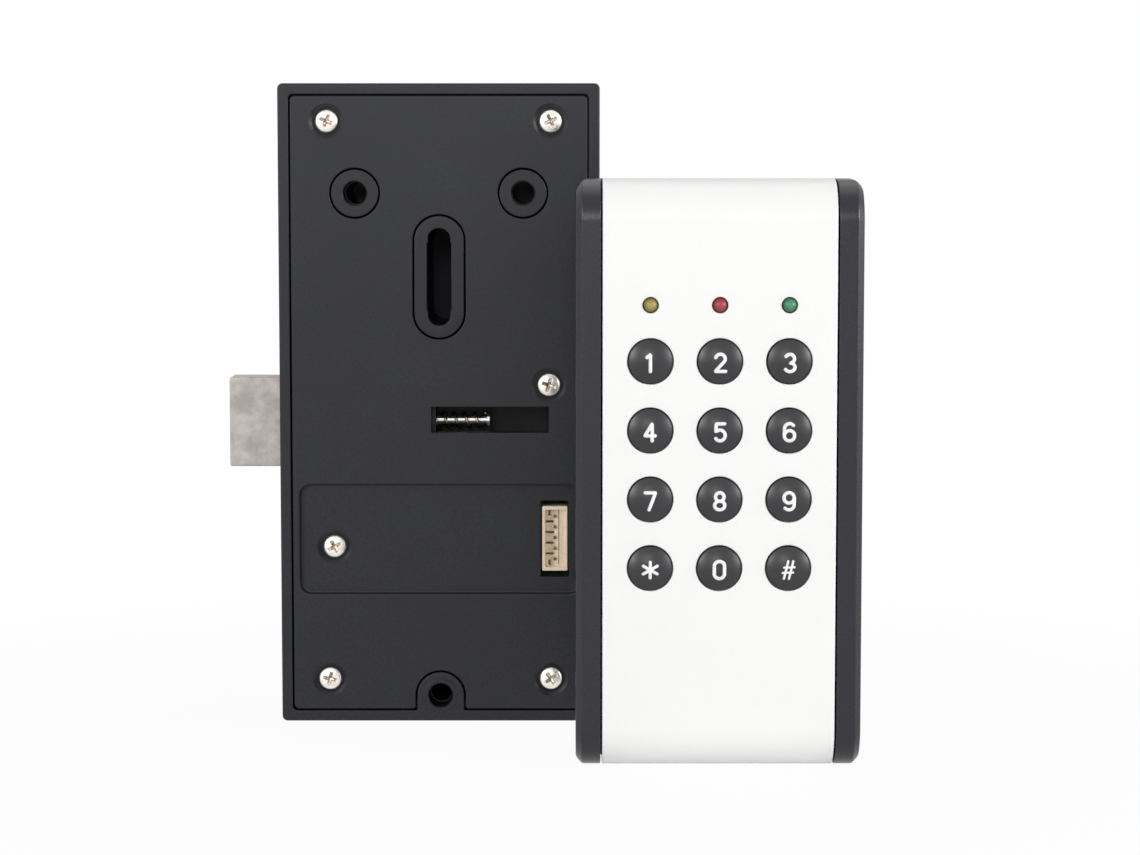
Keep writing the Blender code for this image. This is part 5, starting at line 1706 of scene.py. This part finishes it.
@dataclass
class Keypad:
    """The unit for the outside of the door, in millimetres from its centre line and front."""

    x: float
    y: float
    key: Key = field(default_factory=Key)
    lamp: Lamp = field(default_factory=Lamp)
    screw: PanScrew = PanScrew(length=9.0)
    width: float = 53.6
    height: float = 111.0
    depth: float = 20.0
    end_radius: float = 8.0
    # The cheeks, their corners seen from the front, and the slab between them.
    corner: float = 2.9
    corner_past: float = 0.03
    bevel: float = 1.2
    bevel_edge: float = 0.55
    inner_edge: float = 0.22
    channel: float = 22.1
    slab: float = 15.8
    slab_overlap: float = 0.6
    overlap: float = 1.0
    # Holes through the slab: for the screws, the inserts and the cable.
    case_screws: tuple = (12.5, 104.5)
    pilot: float = 1.3
    head_hole: float = 2.7
    head_depth: float = 1.8
    head_seat: float = 1.5
    chamfer: float = 0.3
    twist: float = 0.4
    inserts: tuple = ((-17.0, 107.9), (17.0, 107.9), (0.0, 5.3))
    insert: float = 2.8
    outlet: Box = (-6.95, 24.1, 6.95, 29.9)
    outlet_corner: float = 0.4
    outlet_steps: int = 4
    # The white face: its wrap round the ends, its holes and its screw posts.
    face_half: float = 21.8
    face_thick: float = 2.0
    face_wrap: float = 15.5
    face_edge: float = 0.2
    face_steps: int = 4
    lip_corner: float = 0.3
    key_hole: float = 4.3
    key_hole_edge: float = 0.22
    lamp_hole: float = 1.52
    lamp_hole_edge: float = 0.12
    post_radius: float = 2.8
    post_root: float = 1.7
    pilot_base: float = 6.5
    # Places of the keys and the lamps, the two thinner signs, and the lamps' tones.
    pitch: float = 12.9
    key_low: float = 38.45
    lamp_z: float = 87.6
    thin_signs: dict[str, float] = field(default_factory=lambda: {"star": 0.58, "hash": 0.43})
    # The lamps' tones: a darker rim and a paler middle, painted light through each lens over its
    # tint.
    tints: dict[str, tuple[str, str]] = field(default_factory=lambda: {
        "yellow": ("5c5318", "a79a44"), "red": ("6e1a20", "a83a40"),
        "green": ("1c5a38", "3f9068")})

    @property
    def origin(self) -> Place:
        """The keypad's centre line, front plane and foot."""
        return (self.x, self.y, 0.0)

    def skin(self, plane: Plane = Plane.FRONT) -> Skin:
        """A new surface in the keypad's own millimetres."""
        return Skin(self.origin, plane)

    def places(self) -> list[tuple[str, float, float]]:
        """Where the keys stand.

        Returns:
            Each key's name, place across and height, row by row from the top.
        """
        names = ("1", "2", "3", "4", "5", "6", "7", "8", "9", "star", "0", "hash")
        return [(name, (number % 3 - 1) * self.pitch,
                 self.key_low + (3 - number // 3) * self.pitch)
                for number, name in enumerate(names)]

    def cheek(self, side: int) -> bpy.types.Mesh:
        """A bevelled cheek, its side view carried across from the bevel to the channel.

        Args:
            side: -1 for the left cheek, 1 for the right one.

        Returns:
            The cheek's mesh.
        """
        loop = rounded([(0, 0), (self.depth, 0), (self.depth, self.height), (0, self.height)],
                       [self.end_radius, 0, 0, self.end_radius], LOOP_STEPS)
        half, slope = self.width / 2, 0.707
        bevel = profile(
            fillet((-self.bevel, half), (-1, 0), (slope, -slope), self.bevel_edge),
            fillet((0, half - self.bevel), (-slope, slope), (0, -1), self.bevel_edge),
            fillet((0, self.channel), (0, 1), (-1, 0), self.inner_edge, SMALL_STEPS))
        skin = self.skin(Plane.SIDE)
        outer, inner = skin.carry(loop, bevel * np.array([1.0, side]))
        skin.sheet(side * half, outer)
        skin.sheet(side * self.channel, inner)
        return skin.mesh(f"cheek_{side}")

    def back_slab(self) -> bpy.types.Mesh:
        """The slab behind the face, with its holes.

        Returns:
            The slab's mesh.
        """
        skin = self.skin()
        edge = self.channel + self.slab_overlap
        outline = np.array([(-edge, 0.0), (edge, 0.0), (edge, self.height),
                            (-edge, self.height)])
        head, eased = self.depth - self.head_depth, self.depth - self.chamfer
        bands = [skin.carry(outline, [(0, self.slab), (0, self.depth)])]
        bands += [skin.turn(0, z, [(self.pilot, self.slab), (self.pilot, head),
                                   (self.head_hole, head), (self.head_hole, eased),
                                   (self.head_hole + self.chamfer, self.depth)])
                  for z in self.case_screws]
        bands += [skin.turn(x, z, [(self.insert, self.slab), (self.insert, self.depth)])
                  for x, z in self.inserts]
        bands += [skin.carry(rectangle(*self.outlet, self.outlet_corner, self.outlet_steps),
                             [(0, self.slab), (0, eased), (self.chamfer, self.depth)])]
        skin.sheet(self.slab, *(first for first, _ in bands))
        skin.sheet(self.depth, *(last for _, last in bands))
        return skin.mesh("slab")

    def casing(self) -> None:
        """The black casing: two cheeks, rounded at their corners, and the slab behind."""
        mesh = combine(self.cheek(-1), self.cheek(1), "UNION")
        stock = self.skin()
        around = grown((-self.width / 2, 0.0, self.width / 2, self.height), self.corner_past)
        block(stock, rectangle(*around, self.corner, CORNER_STEPS), -self.overlap,
              self.depth + self.overlap)
        mesh = combine(mesh, stock.mesh("rounding"), "INTERSECT")
        mesh = combine(mesh, self.back_slab(), "UNION")
        mesh.name = "keypad_casing_shell"
        finish_piece(mesh, Finishes.CHEEK, "root", "black_cheek", "keypad_casing")

    def face(self) -> None:
        """The white face: a shell wrapped round the top and bottom ends, its holes eased.

        Its section is carried across with two quads left out, where the front panel and the
        back of it are sheets with holes.
        """
        wrap, thick, top = self.face_wrap, self.face_thick, self.height
        inner, lip = self.end_radius - thick, self.lip_corner
        section = rounded([(wrap, thick), (thick, thick), (thick, top - thick),
                           (wrap, top - thick), (wrap, top), (0, top), (0, 0), (wrap, 0)],
                          [lip, inner, inner, lip, lip, self.end_radius, self.end_radius, lip],
                          LOOP_STEPS)
        half, steps, ease = self.face_half, self.face_steps, self.face_edge
        across = profile(fillet((0, -half), (-1, 0), (0, 1), ease, steps),
                         fillet((0, half), (0, -1), (-1, 0), ease, steps))
        length = np.abs(np.roll(section, -1, 0)[:, 1] - section[:, 1])
        flats = np.argsort(length)[-2:]
        skin = self.skin(Plane.SIDE)
        left, right = skin.carry(section, across, [(steps, column) for column in flats.tolist()])
        skin.sheet(-half, left)
        skin.sheet(half, right)
        skin.plane = Plane.FRONT
        rim, low = half - ease, self.end_radius
        panel = np.array([(-rim, low), (rim, low), (rim, top - low), (-rim, top - low)])
        holes = [(x, z, self.key_hole, self.key_hole_edge) for _, x, z in self.places()]
        holes += [(side * self.pitch, self.lamp_z, self.lamp_hole, self.lamp_hole_edge)
                  for side in (-1, 0, 1)]
        bands = [(panel, panel)]
        bands += [skin.turn(x, z, hole(0, thick, soft) + np.array([radius, 0.0]), FINE_STEPS)
                  for x, z, radius, soft in holes]
        skin.sheet(0, *(first for first, _ in bands))
        skin.sheet(thick, *(last for _, last in bands))
        mesh = skin.mesh("keypad_face_shell")
        for z in self.case_screws:
            mesh = combine(mesh, self.post(z), "UNION")
        finish_piece(mesh, Finishes.FACE, "root", "white_abs", "keypad_face")

    def post(self, z: float) -> bpy.types.Mesh:
        """A screw post behind the face.

        Args:
            z: the post's height.

        Returns:
            The post's mesh.
        """
        skin = self.skin()
        first, last = skin.turn(0, z, [(self.post_radius, self.post_root),
                                       (self.post_radius, self.face_wrap),
                                       (self.pilot, self.face_wrap),
                                       (self.pilot, self.pilot_base)], FEW_STEPS)
        skin.sheet(self.post_root, first)
        skin.sheet(self.pilot_base, last)
        return skin.mesh("boss")

    def keys(self) -> None:
        """The twelve keys, each a cap with its printed sign."""
        for name, x, z in self.places():
            self.key.make(name, self.origin, x, z)
            sign = Legend(name, self.thin_signs.get(name, Legend.width))
            sign.print_on(self.key, self.origin, x, z)

    def lamps(self) -> None:
        """The three lamps, over the three columns of keys."""
        for number, (name, tones) in enumerate(self.tints.items()):
            self.lamp.make(name, tones, self.origin, (number - 1) * self.pitch, self.lamp_z)

    def screws(self) -> None:
        """The two screws in the back that hold the face."""
        for number, z in enumerate(self.case_screws, 1):
            self.screw.make(f"case_screw_head_{number}", f"case_screw_{number}", self.origin,
                            (0, z, self.depth - self.head_seat), 1, self.twist * number)

    def make(self) -> None:
        """Make every piece of the keypad."""
        self.casing()
        self.face()
        self.keys()
        self.lamps()
        self.screws()


# Pieces kept from the CAD


@dataclass
class Workings:
    """The pieces inside both units, whose CAD forms stay and get their finishes."""

    cell_middle: float = 40.4
    cell_half: float = 20.6

    def finishes(self) -> dict[str, tuple[Finish, str]]:
        """Finishes and slots of the kept nodes.

        Returns:
            The finish and the slot by the beginning of a node's name.
        """
        cell = Jacketed("printed_film_on_dry_cell", "23404f", "2c5163", "b9b7b2",
                        self.cell_middle, self.cell_half)
        return {
            "motor": (Finishes.MOTOR, "motor_steel"),
            "gearbox": (Finishes.NYLON, "dark_nylon"),
            "bolt_carriage": (Finishes.NYLON, "dark_nylon"),
            "drive_shaft": (Finishes.SHAFT, "nickel_steel"),
            "lock_board": (Finishes.BOARD, "board"),
            "keypad_board": (Finishes.BOARD, "board"),
            "board_screw": (Finishes.NICKEL, "nickel_steel"),
            "socket_pin": (Finishes.PIN, "nickel_steel"),
            "contact": (Finishes.NICKEL, "nickel_steel"),
            "battery_cell": (cell, "cell_jacket"),
            "key_mat": (Finishes.SILICONE, "silicone"),
            "buzzer": (Finishes.NYLON, "dark_nylon"),
            "keypad_socket": (Finishes.SOCKET, "cream_nylon"),
            "brass_insert": (Finishes.BRASS, "brass"),
        }

    def make(self) -> None:
        """Give each kept node its finish."""
        count = 0
        for start, (finish, slot) in self.finishes().items():
            for name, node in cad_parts.items():
                if not name.startswith(start):
                    continue
                node.data.materials.clear()
                node.data.materials.append(finish.material())
                count += 1
        log.info("%d pieces keep their CAD forms", count)


# Studio


@dataclass
class Studio:
    """The camera, a white sweep and soft lights, in metres."""

    camera: Place = (0.007525, -0.5759, 0.1123)
    tilt: float = 84.95
    lens: float = 91.52
    sensor: float = 36.0
    fill: float = 0.235
    floor_half: float = 3.0
    backdrop_top: float = 4.0
    floor_white: float = 0.95
    plain_from: float = 0.22
    aim: Place = (0.007, 0.0, 0.06)
    # Each light's name, place, width and height, and power in watts.
    lights: tuple = (("front_light", (-0.10, -1.25, 0.40), (0.4, 0.3), 1.84),
                     ("left_light", (-0.74, -0.70, 0.38), (0.24, 0.44), 3.8),
                     ("right_light", (0.92, -0.52, 0.34), (0.24, 0.38), 5.7),
                     ("side_light", (1.00, -0.10, 0.30), (0.4, 0.5), 1.6),
                     ("top_light", (0.05, 0.25, 1.1), (0.9, 0.9), 2.2))
    # Fibres of the floor's paper and of the painted-shade discs, in millimetres.
    paper_fibre: float = 0.4
    shade_fibre: float = 0.5
    # Depth in millimetres and tone of the painted-shade discs in the round bores and in the long
    # slot.
    bore_shade: tuple[float, str] = (25.7, "b8b8c0")
    slot_shade: tuple[float, str] = (28.5, "52525a")

    def make(self, unit: BoltUnit) -> None:
        """Set up the view, the floor, the backdrop, the world and the lights.

        Args:
            unit: the bolt unit, whose through bores get discs of painted shade.
        """
        scene = bpy.context.scene
        scene.view_settings.view_transform = "Standard"
        data = bpy.data.cameras.new("front_camera")
        data.lens = self.lens
        data.sensor_width = self.sensor
        camera = stand("front_camera", data)
        camera.location = self.camera
        camera.rotation_euler = (radians(self.tilt), 0, 0)
        scene.camera = camera
        self.stage()
        # Discs of painted shade darken the through bores and the long slot.
        for number, (x, z) in enumerate(((-unit.post_side, unit.post_high),
                                         (unit.post_side, unit.post_high),
                                         (0.0, unit.post_low)), 1):
            self.shade_disc(unit, f"bore_disc_{number}", circle(x, z, unit.bore, FINE_STEPS),
                      *self.bore_shade)
        self.shade_disc(unit, "slot_shade", unit.slot.outline(), *self.slot_shade)
        self.world()
        for name, place, size, power in self.lights:
            self.light(name, place, size, power)

    def stage(self) -> None:
        """A floor and a backdrop of white paper, plain white to the camera."""
        far, top = self.floor_half, self.backdrop_top
        for name, white, corners in (
                ("floor", self.floor_white,
                 [(-far, -far, 0), (far, -far, 0), (far, far, 0), (-far, far, 0)]),
                ("backdrop", 1.0,
                 [(-far, far, 0), (far, far, 0), (far, far, top), (-far, far, top)])):
            mesh = bpy.data.meshes.new(name)
            mesh.from_pydata(corners, [], [(0, 1, 2, 3)])
            mesh.materials.append(self.paper(name + "_paper", white))
            stand(name, mesh)

    def shade_disc(self, unit: BoltUnit, name: str, outline: Array, depth: float,
             tone: str) -> None:
        """A disc of painted shade inside a through bore, seen from the front alone.

        It gives the bore the dark end that it has in the photograph, and without it the bore
        would show the backdrop's white. The discs belong to the stage, and a ray that meets one
        from behind passes.

        Args:
            unit: the unit whose bore it stands in.
            name: the disc's name.
            outline: its outline.
            depth: its depth behind the unit's face.
            tone: its colour, darker in the wide slot, which lets more light in.
        """
        skin = unit.skin()
        skin.sheet(depth, outline)
        mesh = skin.mesh(name, orient=False)
        face_front(mesh)
        material, (tree, shader, place) = blank(name + "_card")
        fibre = add(tree, "TexNoise", {"Vector": place, "Scale": 1 / (self.shade_fibre * MM)})
        shade = add(tree, "MapRange", {0: fibre.outputs["Fac"], 3: 0.9, 4: 1.1})
        # The disc's tone is painted shade, faintly varied by the fibre noise.
        painted_shade_tone = add(tree, "Mix", {0: shade.outputs[0], MIX_A: linear("000000"),
                                 MIX_B: linear(tone)}, data_type="RGBA")
        tree.links.new(painted_shade_tone.outputs[MIX_OUT], shader.inputs["Base Color"])
        shader.inputs["Roughness"].default_value = 1.0
        behind = add(tree, "NewGeometry").outputs["Backfacing"]
        clear = add(tree, "BsdfTransparent")
        mix = add(tree, "MixShader", {0: behind, 1: shader.outputs[0], 2: clear.outputs[0]})
        tree.links.new(mix.outputs[0], tree.nodes["Material Output"].inputs["Surface"])
        mesh.materials.append(material)
        stand(name, mesh)

    def seen(self, tree: bpy.types.NodeTree,
             share: float | bpy.types.NodeSocket) -> bpy.types.NodeSocket:
        """The share of plain white, for rays by which a white ground is seen.

        Args:
            tree: the node tree.
            share: plain white's share where the ground is seen.

        Returns:
            That share for rays from the camera, glossy and transmission rays, and else none.
        """
        path = add(tree, "LightPath")
        direct = add(tree, "Math", {0: path.outputs["Is Camera Ray"],
                                    1: path.outputs["Is Glossy Ray"]}, operation="MAXIMUM")
        all_three = add(tree, "Math", {0: direct.outputs[0],
                                       1: path.outputs["Is Transmission Ray"]},
                        operation="MAXIMUM")
        part = add(tree, "Math", {0: all_three.outputs[0], 1: share}, operation="MULTIPLY")
        return part.outputs[0]

    def paper(self, name: str, white: float) -> bpy.types.Material:
        """White paper: matt, and plain white where it is seen, but for a faint shadow.

        Away from the object it is plain white altogether, and near it a share is left to light
        and shadow.

        Args:
            name: the material's name.
            white: plain white's share near the object.

        Returns:
            The material.
        """
        material, (tree, shader, place) = blank(name)
        fibre = add(tree, "TexNoise", {"Vector": place, "Scale": 1 / (self.paper_fibre * MM),
                                       "Detail": 2.0})
        tone = add(tree, "MapRange", {0: fibre.outputs["Fac"], 3: 0.86, 4: 0.88})
        tree.links.new(tone.outputs[0], shader.inputs["Base Color"])
        shader.inputs["Roughness"].default_value = 0.9
        plain = add(tree, "Emission", {"Color": (1.0, 1.0, 1.0, 1.0), "Strength": 1.0})
        away = add(tree, "VectorMath", {0: place}, operation="LENGTH")
        share = add(tree, "MapRange", {0: away.outputs["Value"], 1: self.plain_from / 2,
                                       2: self.plain_from, 3: white, 4: 1.0})
        mix = add(tree, "MixShader", {0: self.seen(tree, share.outputs[0]),
                                      1: shader.outputs[0], 2: plain.outputs[0]})
        tree.links.new(mix.outputs[0], tree.nodes["Material Output"].inputs["Surface"])
        return material

    def world(self) -> None:
        """An even white room: plain white where it is seen, a soft fill where it lights."""
        world = bpy.data.worlds.new("white_room")
        world.use_nodes = True
        tree = world.node_tree
        strength = add(tree, "MapRange", {0: self.seen(tree, 1.0), 3: self.fill, 4: 1.0})
        back = tree.nodes["Background"]
        back.inputs["Color"].default_value = (1.0, 1.0, 1.0, 1.0)
        tree.links.new(strength.outputs[0], back.inputs["Strength"])
        bpy.context.scene.world = world

    def light(self, name: str, place: Place, size: tuple[float, float], power: float) -> None:
        """A soft light that looks at the object's middle.

        Args:
            name: the light's name.
            place: where it stands.
            size: its width and height.
            power: its power in watts.
        """
        data = bpy.data.lights.new(name, "AREA")
        data.shape = "RECTANGLE"
        data.size, data.size_y = size
        data.energy = power
        lamp = stand(name, data)
        lamp.location = place
        aim = Vector(self.aim) - Vector(place)
        lamp.rotation_euler = aim.to_track_quat("-Z", "Y").to_euler()


def main() -> None:
    """Build the object and its studio."""
    logging.basicConfig(level=logging.INFO, format="%(message)s")
    unit = BoltUnit(x=-18.975, y=11.1)
    unit.make()
    Keypad(x=35.375, y=-38.9).make()
    Workings().make()
    Studio().make(unit)


if __name__ == "__main__":
    main()
